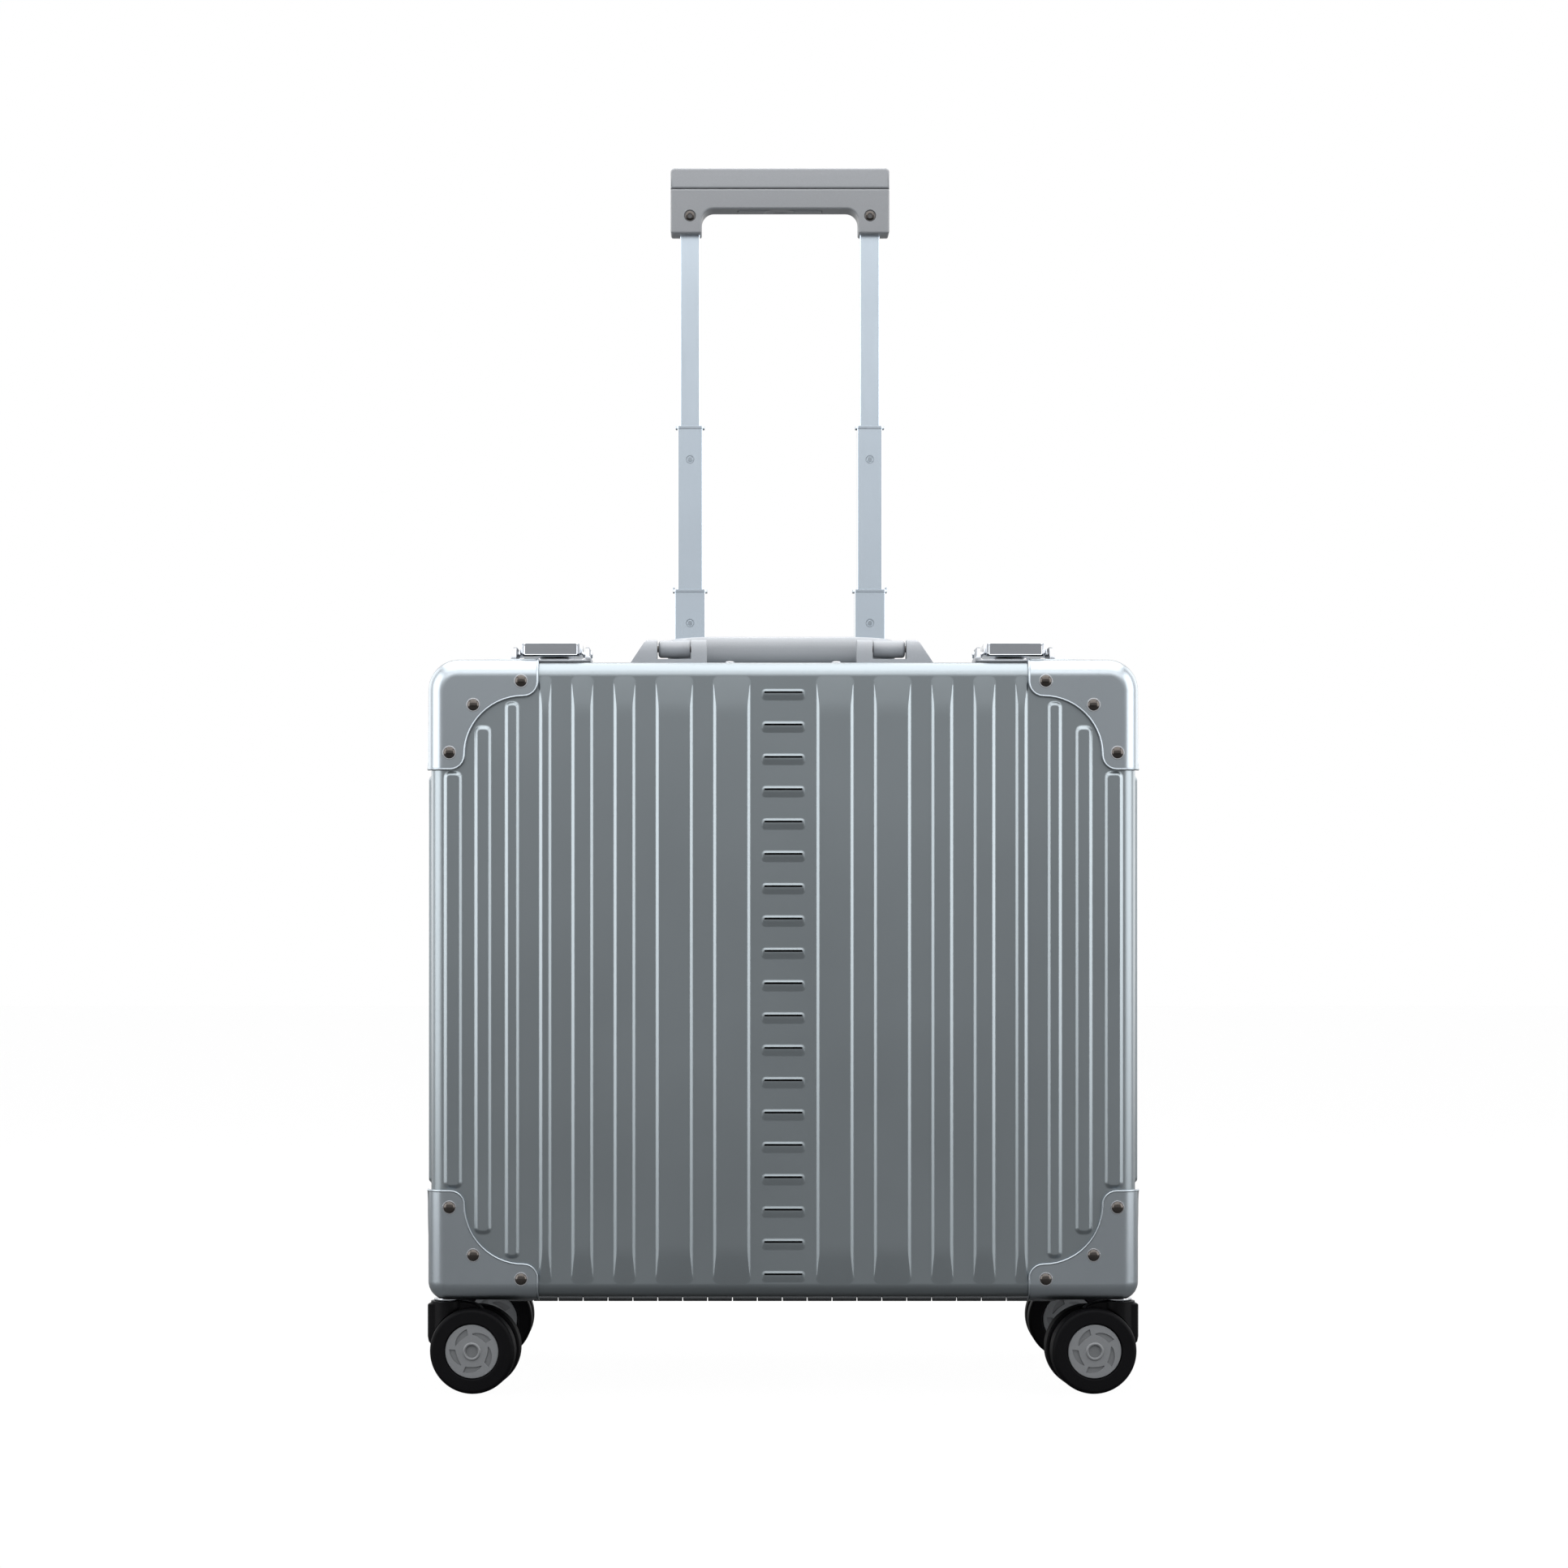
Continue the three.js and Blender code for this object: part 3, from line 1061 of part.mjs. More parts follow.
function addTrolley() {
  for (const [name, side] of Object.entries(SIDES)) {
    const x = side * TUBE_X;
    const upperTop = GRIP_BOTTOM + GRIP_SOCKET_DEPTH - SEAT_GAP;
    const upperTube = hollowTube(UPPER_TUBE, x, upperTop - UPPER_TUBE.length, upperTop);
    piece(`trolley_channel_${name}`, hollowTube(CHANNEL, x, CHANNEL_BOTTOM, CASE_TOP), 'hardware');
    piece(`lower_tube_${name}`, stageTube(LOWER_TUBE, MIDDLE_TUBE, x, LOWER_TOP, true), 'tube');
    piece(`middle_tube_${name}`, stageTube(MIDDLE_TUBE, UPPER_TUBE, x, MIDDLE_TOP, false), 'tube');
    piece(`upper_tube_${name}`, upperTube, 'tube');
  }
  piece('trolley_bezel', trolleyBezel(), 'grip');
  piece('trolley_foot', trolleyFoot(), 'plastic');
  piece('grip_yoke', gripYoke(), 'grip');
  piece('grip_cap', gripCap(), 'grip');
  piece('grip_button', gripButton(), 'grip');
}

function addHandle() {
  for (const [name, side] of Object.entries(SIDES)) {
    piece(`handle_bracket_${name}`, mirrored(handleBracket(), side), 'hardware');
    piece(`handle_pin_${name}`, mirrored(handlePin(), side), 'steel');
  }
  piece('carry_handle', carryHandle(), 'hardware');
}

function addLatches() {
  for (const [name, side] of Object.entries(SIDES)) {
    const place = new THREE.Group();
    place.position.x = side * LATCH_X;
    suitcase.add(place);
    piece(`latch_base_${name}`, latchBase(), 'hardware', place);
    piece(`latch_lever_${name}`, latchLever(), 'hardware', place);
    piece(`latch_claw_${name}`, latchClaw(), 'steel', place);
    piece(`latch_keeper_${name}`, latchKeeper(), 'steel', place);
  }
}

// Each caster's wheels trail towards the middle of the case; the front pair stands toed in.
function addCasters() {
  const wheelY = (WHEEL_SPACE + WHEEL_WIDTH) / 2;
  for (const [rowName, row] of [['front', FRONT], ['rear', REAR]]) {
    for (const [sideName, side] of Object.entries(SIDES)) {
      const toe = row === FRONT ? CASTER_TOE : 0;
      const heading = side < 0 ? -toe : 180 + toe;
      const caster = new THREE.Group();
      caster.position.set(side * CASTER_X, row * CASTER_Y, 0);
      caster.rotation.z = THREE.MathUtils.degToRad(heading);
      suitcase.add(caster);
      const label = `${rowName}_${sideName}`;
      piece(`caster_pivot_${label}`, casterPivot(), 'steel', caster);
      piece(`caster_fork_${label}`, casterFork(), 'plastic', caster);
      for (const [end, hand] of [['a', -1], ['b', 1]]) {
        const wheel = piece(`wheel_${label}_${end}`, casterWheel(), 'wheel', caster);
        wheel.position.set(CASTER_TRAIL, hand * wheelY, WHEEL_RADIUS);
        wheel.rotation.z = hand < 0 ? 0 : Math.PI;
      }
    }
  }
}

addShells();
addFrames();
addLinings();
addGuards();
addHinge();
addTrolley();
addHandle();
addLatches();
addCasters();

export default suitcase;
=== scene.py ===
"""Finished model of an aluminium trolley case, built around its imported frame."""

import json
import math
from contextlib import contextmanager

import bmesh
import bpy
from mathutils import Matrix, Vector


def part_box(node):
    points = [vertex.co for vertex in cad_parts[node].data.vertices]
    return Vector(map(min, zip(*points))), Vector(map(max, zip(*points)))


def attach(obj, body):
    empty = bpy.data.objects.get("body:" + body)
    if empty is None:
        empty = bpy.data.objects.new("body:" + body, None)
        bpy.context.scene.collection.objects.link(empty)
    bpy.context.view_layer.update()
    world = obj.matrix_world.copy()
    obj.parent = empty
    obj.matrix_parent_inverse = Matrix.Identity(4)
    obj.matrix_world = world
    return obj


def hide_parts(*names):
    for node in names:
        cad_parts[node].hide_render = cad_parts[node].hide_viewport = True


bl_info = {
    "name": "Aluminium Trolley Case",
    "version": (1, 0, 0),
    "blender": (4, 5, 0),
    "location": "View3D > Sidebar > Trolley Case",
    "description": "Builds the finished pieces of an aluminium trolley case",
    "category": "Add Mesh",
}

# Every length below is in millimetres, unless it is a property's or belongs to the stage.
MM = 0.001

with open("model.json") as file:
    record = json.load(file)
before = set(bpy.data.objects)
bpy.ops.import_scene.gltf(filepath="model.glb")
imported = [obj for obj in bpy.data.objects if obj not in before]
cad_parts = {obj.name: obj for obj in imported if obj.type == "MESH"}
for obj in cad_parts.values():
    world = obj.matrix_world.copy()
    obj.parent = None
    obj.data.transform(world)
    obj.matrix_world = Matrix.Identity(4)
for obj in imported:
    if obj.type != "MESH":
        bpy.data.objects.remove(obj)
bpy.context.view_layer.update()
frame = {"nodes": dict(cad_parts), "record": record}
BODY_OF = {n: body for body, nodes in frame["record"]["behaviour"]["bodies"].items() for n in nodes}

SIDES = {"left": -1, "right": 1}
ROWS = {"front": -1, "rear": 1}
LEVELS = {"bottom": -1, "top": 1}


def span(node):
    """Lowest and highest corner of a node, in millimetres."""
    low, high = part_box(node)
    return low / MM, high / MM


def centre(node):
    """Middle of a node's box."""
    low, high = span(node)
    return (low + high) / 2


# ---- the case's own dimensions -------------------------------------------------------------------

SHEET = 1.2
BEAD_HEIGHT = 1.8
FACE_BEAD_HEIGHT = 1.2
EDGE_RADIUS = 9
TOP_CORNER = 17
BOTTOM_CORNER = 9.5
LID_LOW, LID_HIGH = span("front_shell")
REAR_LOW, REAR_HIGH = span("rear_shell")
HALF_WIDTH = LID_HIGH.x - BEAD_HEIGHT
FACE = REAR_HIGH.y - BEAD_HEIGHT
BOTTOM = LID_LOW.z
TOP = LID_HIGH.z
MIDDLE = (BOTTOM + TOP) / 2
HEIGHT = TOP - BOTTOM
OPEN = {"front": LID_HIGH.y, "rear": REAR_LOW.y}

BEAD_ROWS = (  # valley before the bead, width of the bead, from the centre line outwards
    (21, 20.7),
    (14.2, 20.7),
    (14.2, 11.4),
    (14.2, 11.4),
    (14, 5.6),
    (14, 6.8),
    (10.1, 8.4),
    (9.4, 9.2),
)
BEAD_END_MARGIN = 10
BEAD_RUN_OUT = 22
BEAD_GUARD_GAP = 2.5
SIDE_BEAD_WIDTH = 10
SIDE_BEAD_PITCH = 22
TOP_RIVET = {"x": 32.5, "y": -98, "radius": 2.8, "height": 1.1}
SLAT = {"length": 25, "width": 5.4, "flank": 2, "run_out": 2.9, "pitch": 19.64, "margin": 19.9, "count": 19}

GUARD_SEAT = 0.3
GUARD_GROW = 1.8
GUARD_ARM = 22.5
GUARD_SWEEP = 36
GUARD_ARM_END = 8.5
GUARD_REACH = GUARD_ARM + GUARD_SWEEP + GUARD_ARM_END
GUARD_DEPTH = 46
RIVET_SPOTS = ((57, 13.5), (13.5, 57), (28, 28))


# ---- selecting and shaping -----------------------------------------------------------------------


def deselect():
    if bpy.context.object and bpy.context.object.mode != "OBJECT":
        bpy.ops.object.mode_set(mode="OBJECT")
    bpy.ops.object.select_all(action="DESELECT")


def activate(*pieces):
    """Selects these pieces only; the first is the active one."""
    deselect()
    for piece in pieces:
        piece.select_set(True)
    bpy.context.view_layer.objects.active = pieces[0]


@contextmanager
def editing(piece):
    """Edit mode on one piece."""
    activate(piece)
    bpy.ops.object.mode_set(mode="EDIT")
    yield
    bpy.ops.object.mode_set(mode="OBJECT")


def middle(part):
    """Middle of a vertex, edge or face."""
    if isinstance(part, bmesh.types.BMVert):
        return part.co / MM
    return sum((v.co for v in part.verts), Vector()) / len(part.verts) / MM


def select(kind, *tests):
    """In edit mode, selects only the verts, edges or faces that pass every test."""
    bpy.ops.mesh.select_mode(type={"verts": "VERT", "edges": "EDGE", "faces": "FACE"}[kind])
    bpy.ops.mesh.select_all(action="DESELECT")
    data = bpy.context.edit_object.data
    mesh = bmesh.from_edit_mesh(data)
    mesh.normal_update()
    found = [part for part in getattr(mesh, kind) if all(test(part) for test in tests)]
    if not found:
        raise RuntimeError(f"no {kind} of {data.name} pass the tests")
    for part in found:
        part.select_set(True)
    mesh.select_flush_mode()
    bmesh.update_edit_mesh(data)


def facing(*direction):
    """Test for faces whose normal points that way."""
    wanted = Vector(direction).normalized()
    return lambda face: face.normal.dot(wanted) > 0.99


def along(axis):
    """Test for straight edges that run along an axis, 0 to 2."""

    def test(edge):
        run = edge.verts[1].co - edge.verts[0].co
        return abs(run[axis]) > 0.999 * run.length

    return test


def at(axis, place):
    """Test for parts that lie wholly at a place along an axis."""
    return lambda part: all(abs(v.co[axis] / MM - place) < 0.02 for v in part.verts)


def bevel(width, segments, *tests):
    """Rounds the edges that pass every test."""
    select("edges", *tests)
    bpy.ops.mesh.bevel(offset=width * MM, segments=segments, clamp_overlap=False)


def extrude(*shift):
    bpy.ops.mesh.extrude_region_move(TRANSFORM_OT_translate={"value": Vector(shift) * MM})


def inset(test, *steps):
    """Insets the faces that pass a test, or what is selected, by each (width, height) in turn."""
    if test:
        select("faces", test)
    for width, height in steps:
        bpy.ops.mesh.inset(thickness=width * MM, depth=height * MM, use_even_offset=True)


def flank_steps(width, height):
    """Insets up a sloping side with an eased foot and shoulder."""
    return (
        (0.14 * width, 0.04 * height),
        (0.16 * width, 0.14 * height),
        (0.4 * width, 0.64 * height),
        (0.16 * width, 0.14 * height),
        (0.14 * width, 0.04 * height),
    )


def dome_steps(radius, height, count=5):
    """Insets of a round top that starts steep and ends nearly level."""
    turns = [0.5 * math.pi * i / count for i in range(count + 1)]
    return [
        (0.92 * radius * (math.cos(a) - math.cos(b)), height * (math.sin(b) - math.sin(a)))
        for a, b in zip(turns, turns[1:])
    ]


# ---- primitives, joins and cuts ------------------------------------------------------------------


def box(name, one, other):
    """A closed box between two opposite corners."""
    low, high = (Vector([pick(pair) for pair in zip(one, other)]) * MM for pick in (min, max))
    deselect()
    bpy.ops.mesh.primitive_cube_add(size=1, location=(low + high) / 2, scale=high - low)
    return settle(bpy.context.object, name)


def rod(name, start, end, radius, sides=32):
    """A closed cylinder between two points."""
    start, end = Vector(start) * MM, Vector(end) * MM
    turn = (end - start).to_track_quat("Z", "Y").to_euler()
    deselect()
    bpy.ops.mesh.primitive_cylinder_add(
        vertices=sides,
        radius=radius * MM,
        depth=(end - start).length,
        location=(start + end) / 2,
        rotation=turn,
    )
    return settle(bpy.context.object, name)


def rounded_bar(name, low, high, radius, axis=2, segments=4):
    """A box whose four edges along an axis are rounded."""
    bar = box(name, low, high)
    with editing(bar):
        bevel(radius, segments, along(axis))
    return bar


def drawn(name, points, faces):
    """A piece from its points and the faces between them."""
    data = bpy.data.meshes.new(name)
    data.from_pydata([Vector(point) * MM for point in points], [], faces)
    piece = bpy.data.objects.new(name, data)
    bpy.context.scene.collection.objects.link(piece)
    return piece


def profile_bar(name, outline, axis, start, end):
    """A closed bar; its outline is drawn in the two directions other than its axis, in order."""
    points = [(*spot[:axis], start, *spot[axis:]) for spot in outline]
    bar = drawn(name, points, [range(len(points))])
    shift = [0, 0, 0]
    shift[axis] = end - start
    with editing(bar):
        bpy.ops.mesh.select_all(action="SELECT")
        extrude(*shift)
    return turn_outwards(bar)


def loft(name, rings):
    """A closed skin through rings of points, for a section that changes along a bend."""
    sides = len(rings[0])
    points = [point for ring in rings for point in ring]
    last = len(points) - sides
    faces = [range(sides), range(last, len(points))]
    for i in range(last):
        before = i - 1 if i % sides else i - 1 + sides
        faces.append((before, i, i + sides, before + sides))
    return turn_outwards(drawn(name, points, faces))


def settle(piece, name):
    """Names a piece and moves its place into its mesh."""
    piece.name = name
    piece.data.name = name
    activate(piece)
    bpy.ops.object.transform_apply(location=True, rotation=True, scale=True)
    return piece


def move(piece, matrix):
    """Moves a piece's mesh by a matrix in millimetres, turned outside out if that mirrors it."""
    matrix = matrix.copy()
    matrix.translation *= MM
    piece.matrix_world = matrix @ piece.matrix_world
    settle(piece, piece.name)
    return turn_outwards(piece) if matrix.determinant() < 0 else piece


def copy_of(piece, name, matrix=Matrix.Identity(4)):
    """A copy with its own mesh, moved by a matrix."""
    activate(piece)
    bpy.ops.object.duplicate(linked=False)
    made = bpy.context.object
    made.name = name
    return move(made, matrix)


def spread(piece, *spots):
    """Copies of a piece moved by several matrices, in place of the piece itself."""
    copies = [copy_of(piece, piece.name, spot) for spot in spots]
    discard(piece)
    return copies


def discard(*pieces):
    for piece in pieces:
        bpy.data.objects.remove(piece)


def turn_outwards(piece):
    with editing(piece):
        bpy.ops.mesh.select_all(action="SELECT")
        bpy.ops.mesh.normals_make_consistent(inside=False)
    return piece


def mirror(x=1, y=1):
    return Matrix.Diagonal((x, y, 1, 1))


def place(x=0, y=0, z=0):
    return Matrix.Translation((x, y, z))


def axes(u, v, w, corner=(0, 0, 0)):
    """The matrix that takes local X, Y and Z to three directions at a corner."""
    turned = Matrix((u, v, w)).transposed().to_4x4()
    return Matrix.Translation(corner) @ turned


def on_wall(normal, spot):
    """Takes local Z to a wall's outward normal and keeps local Y upright."""
    normal, up = Vector(normal), Vector((0, 0, 1))
    return axes(up.cross(normal), up, normal, spot)


def join(pieces, name):
    """One piece from several, named anew."""
    activate(*pieces)
    if len(pieces) > 1:
        bpy.ops.object.join()
    return settle(bpy.context.object, name)


def modify(piece, kind, **settings):
    """Adds a modifier to a piece and applies it."""
    change = piece.modifiers.new(kind.lower(), kind)
    for key, value in settings.items():
        setattr(change, key, value)
    activate(piece)
    bpy.ops.object.modifier_apply(modifier=change.name)
    return piece


def cut(piece, *cutters, operation="DIFFERENCE"):
    """Booleans each cutter into the piece and removes it."""
    for cutter in cutters:
        modify(piece, "BOOLEAN", operation=operation, solver="MANIFOLD", object=cutter)
        discard(cutter)
    return piece


def second_slot(cutter):
    """Has the faces that a cutter leaves take the second finish of the piece it cuts."""
    for polygon in cutter.data.polygons:
        polygon.material_index = 1
    return cutter


def soften(piece, width, segments=2, angle=35):
    """Rounds every edge sharper than an angle."""
    limit = {"limit_method": "ANGLE", "angle_limit": math.radians(angle)}
    return modify(piece, "BEVEL", width=width * MM, segments=segments, **limit)


def thicken(piece, wall):
    """Gives an open skin a wall, inwards from its outer side."""
    return modify(piece, "SOLIDIFY", thickness=wall * MM, offset=-1, use_even_offset=True)


def paint(piece, finish, chosen=None):
    """Gives a piece a finish, or only its chosen polygons one as a further slot."""
    slots = piece.data.materials
    if chosen is None:
        slots.clear()
    slots.append(material(finish))
    for polygon in piece.data.polygons:
        if chosen is None or chosen(polygon):
            polygon.material_index = len(slots) - 1
    return piece


def stand_in(piece, *nodes, angle=32):
    """Hands a finished piece over: it rides as the nodes it replaces."""
    activate(piece)
    bpy.ops.object.shade_smooth_by_angle(angle=math.radians(angle))
    modify(piece, "WEIGHTED_NORMAL", keep_sharp=True)
    bpy.ops.object.material_slot_remove_unused()
    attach(piece, BODY_OF[nodes[0]])
    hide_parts(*nodes)


def refinish(finish, *nodes):
    """Gives nodes that stay as they are a finish."""
    for node in nodes:
        for slot in frame["nodes"][node].material_slots:
            slot.material = material(finish)


# ---- shader values -------------------------------------------------------------------------------


class Value:
    """A socket that varies over a surface. Arithmetic on it adds Math nodes."""

    def __init__(self, tree, socket):
        self.tree = tree
        self.socket = socket

    def math(self, operation, *terms):
        return self.tree.node("ShaderNodeMath", {"operation": operation}, dict(enumerate(terms)))

    def __add__(self, other):
        return self.math("ADD", self, other)

    __radd__ = __add__

    def __mul__(self, other):
        return self.math("MULTIPLY", self, other)

    __rmul__ = __mul__

    def larger(self, other):
        return self.math("MAXIMUM", self, other)


class Tree:
    """A node tree under construction."""

    def __init__(self, nodes):
        self.nodes = nodes

    def node(self, kind, settings=None, inputs=None, output=0):
        """Adds a node, applies its settings, fills its sockets and hands over one output."""
        made = self.nodes.nodes.new(kind)
        for key, value in (settings or {}).items():
            setattr(made, key, value)
        for key, value in (inputs or {}).items():
            self.feed(made.inputs[key], value)
        return Value(self, made.outputs[output])

    def feed(self, socket, value):
        if isinstance(value, Value):
            self.nodes.links.new(value.socket, socket)
        else:
            socket.default_value = value

    def ray(self, kind):
        """1 for rays of a kind, else 0."""
        return self.node("ShaderNodeLightPath", output=f"Is {kind} Ray")

    def seen(self):
        """1 for rays that show a thing: straight, in a reflection or through glass."""
        return self.ray("Camera").larger(self.ray("Glossy")).larger(self.ray("Transmission"))


class Finish(Tree):
    """A material under construction."""

    def __init__(self, name):
        self.material = bpy.data.materials.new(name)
        self.material.use_nodes = True
        super().__init__(self.material.node_tree)
        self.shader = self.nodes.nodes["Principled BSDF"]

    def surface(self, **sockets):
        """Sets or links the surface shader's sockets, named with underscores for spaces."""
        for key, value in sockets.items():
            self.feed(self.shader.inputs[key.replace("_", " ")], value)
        return self.material

    def where(self, scale=(1, 1, 1)):
        """Object coordinates, stretched."""
        spot = self.node("ShaderNodeTexCoord", output="Object")
        return self.node("ShaderNodeMapping", {}, {"Vector": spot, "Scale": scale})

    def noise(self, scale, stretch=(1, 1, 1), detail=3.0):
        inputs = {"Vector": self.where(stretch), "Scale": scale, "Detail": detail}
        return self.node("ShaderNodeTexNoise", {}, inputs)

    def waves(self, scale, direction):
        """Even ridges across a direction."""
        inputs = {"Vector": self.where(), "Scale": scale}
        return self.node("ShaderNodeTexWave", {"bands_direction": direction}, inputs, "Fac")

    def mix(self, factor, a, b):
        """A colour between two, by a factor."""
        return self.node("ShaderNodeMix", {"data_type": "RGBA"}, {0: factor, 6: a, 7: b}, output=2)

    def bump(self, height, distance, strength=1.0):
        """A normal from a height; the distance is in millimetres."""
        inputs = {"Height": height, "Distance": distance * MM, "Strength": strength}
        return self.node("ShaderNodeBump", {}, inputs)


def shade(colour, factor):
    """A colour made lighter or darker by a factor, with full alpha."""
    return (*(min(1.0, c * factor) for c in colour[:3]), 1.0)


# ---- finishes ------------------------------------------------------------------------------------


def metal(name, colour, roughness, stretch=(1, 1, 1), grain=900.0):
    """Satin metal: clouded colour, fine grain that may be drawn out, and uneven polish."""
    finish = Finish(name)
    clouds = finish.noise(9.0)
    fine = finish.noise(grain, stretch, 2.0)
    return finish.surface(
        Base_Color=finish.mix(clouds, shade(colour, 0.95), shade(colour, 1.05)),
        Metallic=1.0,
        Roughness=clouds * 0.08 + fine * 0.06 + (roughness - 0.07),
        Normal=finish.bump(fine, 0.012, 0.6),
    )


def moulded(name, colour, roughness, specular=0.5):
    """Moulded or painted plastic with a fine spark-eroded texture."""
    finish = Finish(name)
    clouds = finish.noise(22.0)
    fine = finish.noise(1400.0, detail=1.0)
    return finish.surface(
        Base_Color=finish.mix(fine, shade(colour, 0.93), shade(colour, 1.05)),
        Roughness=clouds * 0.1 + (roughness - 0.05),
        Normal=finish.bump(fine, 0.03, 0.5),
        Specular_IOR_Level=specular,
    )


def woven(name, colour, pitch):
    """Plain-woven textile: crossed ribs, a little fuzz and faded patches."""
    finish = Finish(name)
    warp, weft, across = (finish.waves(1 / (pitch * MM) / 20, direction) for direction in "XZY")
    weave = (warp + weft + across) * 0.33
    worn = weave * 0.6 + finish.noise(16.0) * 0.4
    return finish.surface(
        Base_Color=finish.mix(worn, shade(colour, 0.7), shade(colour, 1.35)),
        Roughness=0.92,
        Normal=finish.bump(weave, 0.25, 0.7),
        Sheen_Weight=0.25,
        Sheen_Roughness=0.5,
    )


def rubber(name, colour, roughness):
    """Tyre tread rubber with a faint bloom of dust."""
    finish = Finish(name)
    bloom = finish.noise(60.0, detail=4.0)
    fine = finish.noise(1800.0, detail=1.0)
    return finish.surface(
        Base_Color=finish.mix(bloom, shade(colour, 0.75), shade(colour, 1.6)),
        Roughness=bloom * 0.16 + (roughness - 0.08),
        Normal=finish.bump(fine, 0.02, 0.5),
        Specular_IOR_Level=0.05,
    )


FINISHES = {  # maker, base colour and its factor, roughness or a weave's pitch, further settings
    "pressed_sheet": (metal, "shell", 1, 0.33),
    "guard_sheet": (metal, "guard", 1, 0.3),
    "rolled_rim": (metal, "guard", 1.05, 0.3),
    "closing_frame": (metal, "guard", 1.25, 0.28, (1, 1, 0.15)),
    "drawn_tube": (metal, "tube", 1, 0.25, (1, 1, 0.03), 1500.0),
    "tube_collar": (metal, "tube", 0.8, 0.3),
    "tube_stud": (metal, "tube", 0.58, 0.34),
    "cast_grip": (moulded, "grip", 1, 0.42),
    "grip_top": (moulded, "grip", 1.2, 0.38),
    "satin_fitting": (metal, "fitting", 1, 0.34),
    "painted_fitting": (moulded, "fitting", 0.72, 0.4),
    "painted_bail": (moulded, "fitting", 0.7, 0.34),
    "brushed_face": (metal, "fitting", 0.76, 0.34, (0.04, 1, 1), 1200.0),
    "polished_edge": (metal, "fitting", 1.5, 0.16),
    "hinge_steel": (metal, (0.27, 0.285, 0.3), 1, 0.26, (0.1, 1, 1)),
    # dark metal of screws and pins, and painted shade: on the rivet domes this dark colour is a painted
    # dark reflection
    "dark_nickel": (metal, (0.062, 0.056, 0.052), 1, 0.18),
    "bright_nickel": (metal, (0.42, 0.43, 0.45), 1, 0.16),
    "chrome": (metal, (0.5, 0.52, 0.55), 1, 0.12),
    # painted shade: a dark disc on the floor of each grip screw's recess, round the head
    "screw_head": (metal, (0.07, 0.07, 0.072), 1, 0.28),
    "caster_moulding": (moulded, "moulding", 1, 0.38, 0.08),
    "dark_moulding": (moulded, "moulding", 1.5, 0.55, 0.2),
    "tyre": (rubber, "tyre", 1, 0.55),
    "seal_rubber": (rubber, "tyre", 1, 0.7),
    "hub_paint": (moulded, "hub", 1, 0.36, 0.3),
    # painted shade: a darker copy of the hub paint for the hub's recesses
    "hub_recess": (moulded, "hub", 0.78, 0.5, 0.2),
    "lining_cloth": (woven, "lining", 1, 0.7),
    "lining_piping": (woven, "lining", 0.55, 0.5),
}


def material(name):
    """The finish of that name, made the first time it is asked for."""
    if name not in bpy.data.materials:
        maker, base, factor, *settings = FINISHES[name]
        if isinstance(base, str):
            base = getattr(bpy.context.scene.trolley_case_colours, base)
        maker(name, shade(base, factor), *settings)
    return bpy.data.materials[name]


# ---- what a user may change ----------------------------------------------------------------------


def length(name, description, millimetres):
    """A length property with its default given in millimetres."""
    return bpy.props.FloatProperty(
        name=name,
        description=description,
        default=millimetres * MM,
        min=0.0,
        unit="LENGTH",
        precision=4,
    )


def colour(name, description, red, green, blue):
    return bpy.props.FloatVectorProperty(
        name=name,
        description=description,
        default=(red, green, blue),
        size=3,
        min=0.0,
        max=1.0,
        subtype="COLOR",
    )


class TrolleyCaseSizes(bpy.types.PropertyGroup):
    """Sizes of the details that finish the case."""

    bead_flank: length("Bead Flank", "Width of a pressed bead's sloping side", 3.0)
    slat_height: length("Slat Height", "How far the slats stand off the lid", 0.42)
    rim_radius: length("Guard Rim", "Radius of the rolled rim round a corner guard", 0.7)
    rivet_radius: length("Rivet", "Radius of a guard rivet's head", 3.6)
    frame_groove: length("Frame Groove", "Depth of the grooves round the closing frames", 0.45)
    tube_corner: length("Tube Corner", "Radius of the trolley tubes' corners", 0.6)
    grip_edge: length("Grip Edge", "Rounding of the trolley grip's edges", 1.3)
    tyre_shoulder: length("Tyre Shoulder", "Rounding of the tyres' shoulders", 2.4)


class TrolleyCaseColours(bpy.types.PropertyGroup):
    """Base colours of the finishes."""

    shell: colour("Shell", "Pressed sheet of the case", 0.185, 0.208, 0.222)
    guard: colour("Guard", "Corner guards and closing frames", 0.25, 0.277, 0.3)
    tube: colour("Tube", "Trolley tubes", 0.42, 0.477, 0.535)
    grip: colour("Grip", "Trolley grip", 0.146, 0.153, 0.163)
    fitting: colour("Fitting", "Latches, brackets and carry handle", 0.3, 0.316, 0.34)
    moulding: colour("Moulding", "Caster housings", 0.003, 0.003, 0.0035)
    tyre: colour("Tyre", "Wheel treads and seals", 0.002, 0.002, 0.0024)
    hub: colour("Hub", "Painted wheel caps", 0.134, 0.14, 0.147)
    lining: colour("Lining", "Cloth inside the case", 0.03, 0.032, 0.038)


def sizes(key):
    """A size property, in millimetres."""
    return getattr(bpy.context.scene.trolley_case_sizes, key) / MM


# ---- the pressed case ----------------------------------------------------------------------------


def case_block(name, grow, start, end, bottom=BOTTOM_CORNER):
    """A block between two planes with the case's outline, grown all round."""
    wide = HALF_WIDTH + grow
    block = box(name, (-wide, start, BOTTOM - grow), (wide, end, TOP + grow))
    with editing(block):
        bevel(TOP_CORNER + grow, 9, along(1), lambda edge: middle(edge).z > MIDDLE)
        bevel(bottom + grow, 6, along(1), lambda edge: middle(edge).z < MIDDLE)
    return block


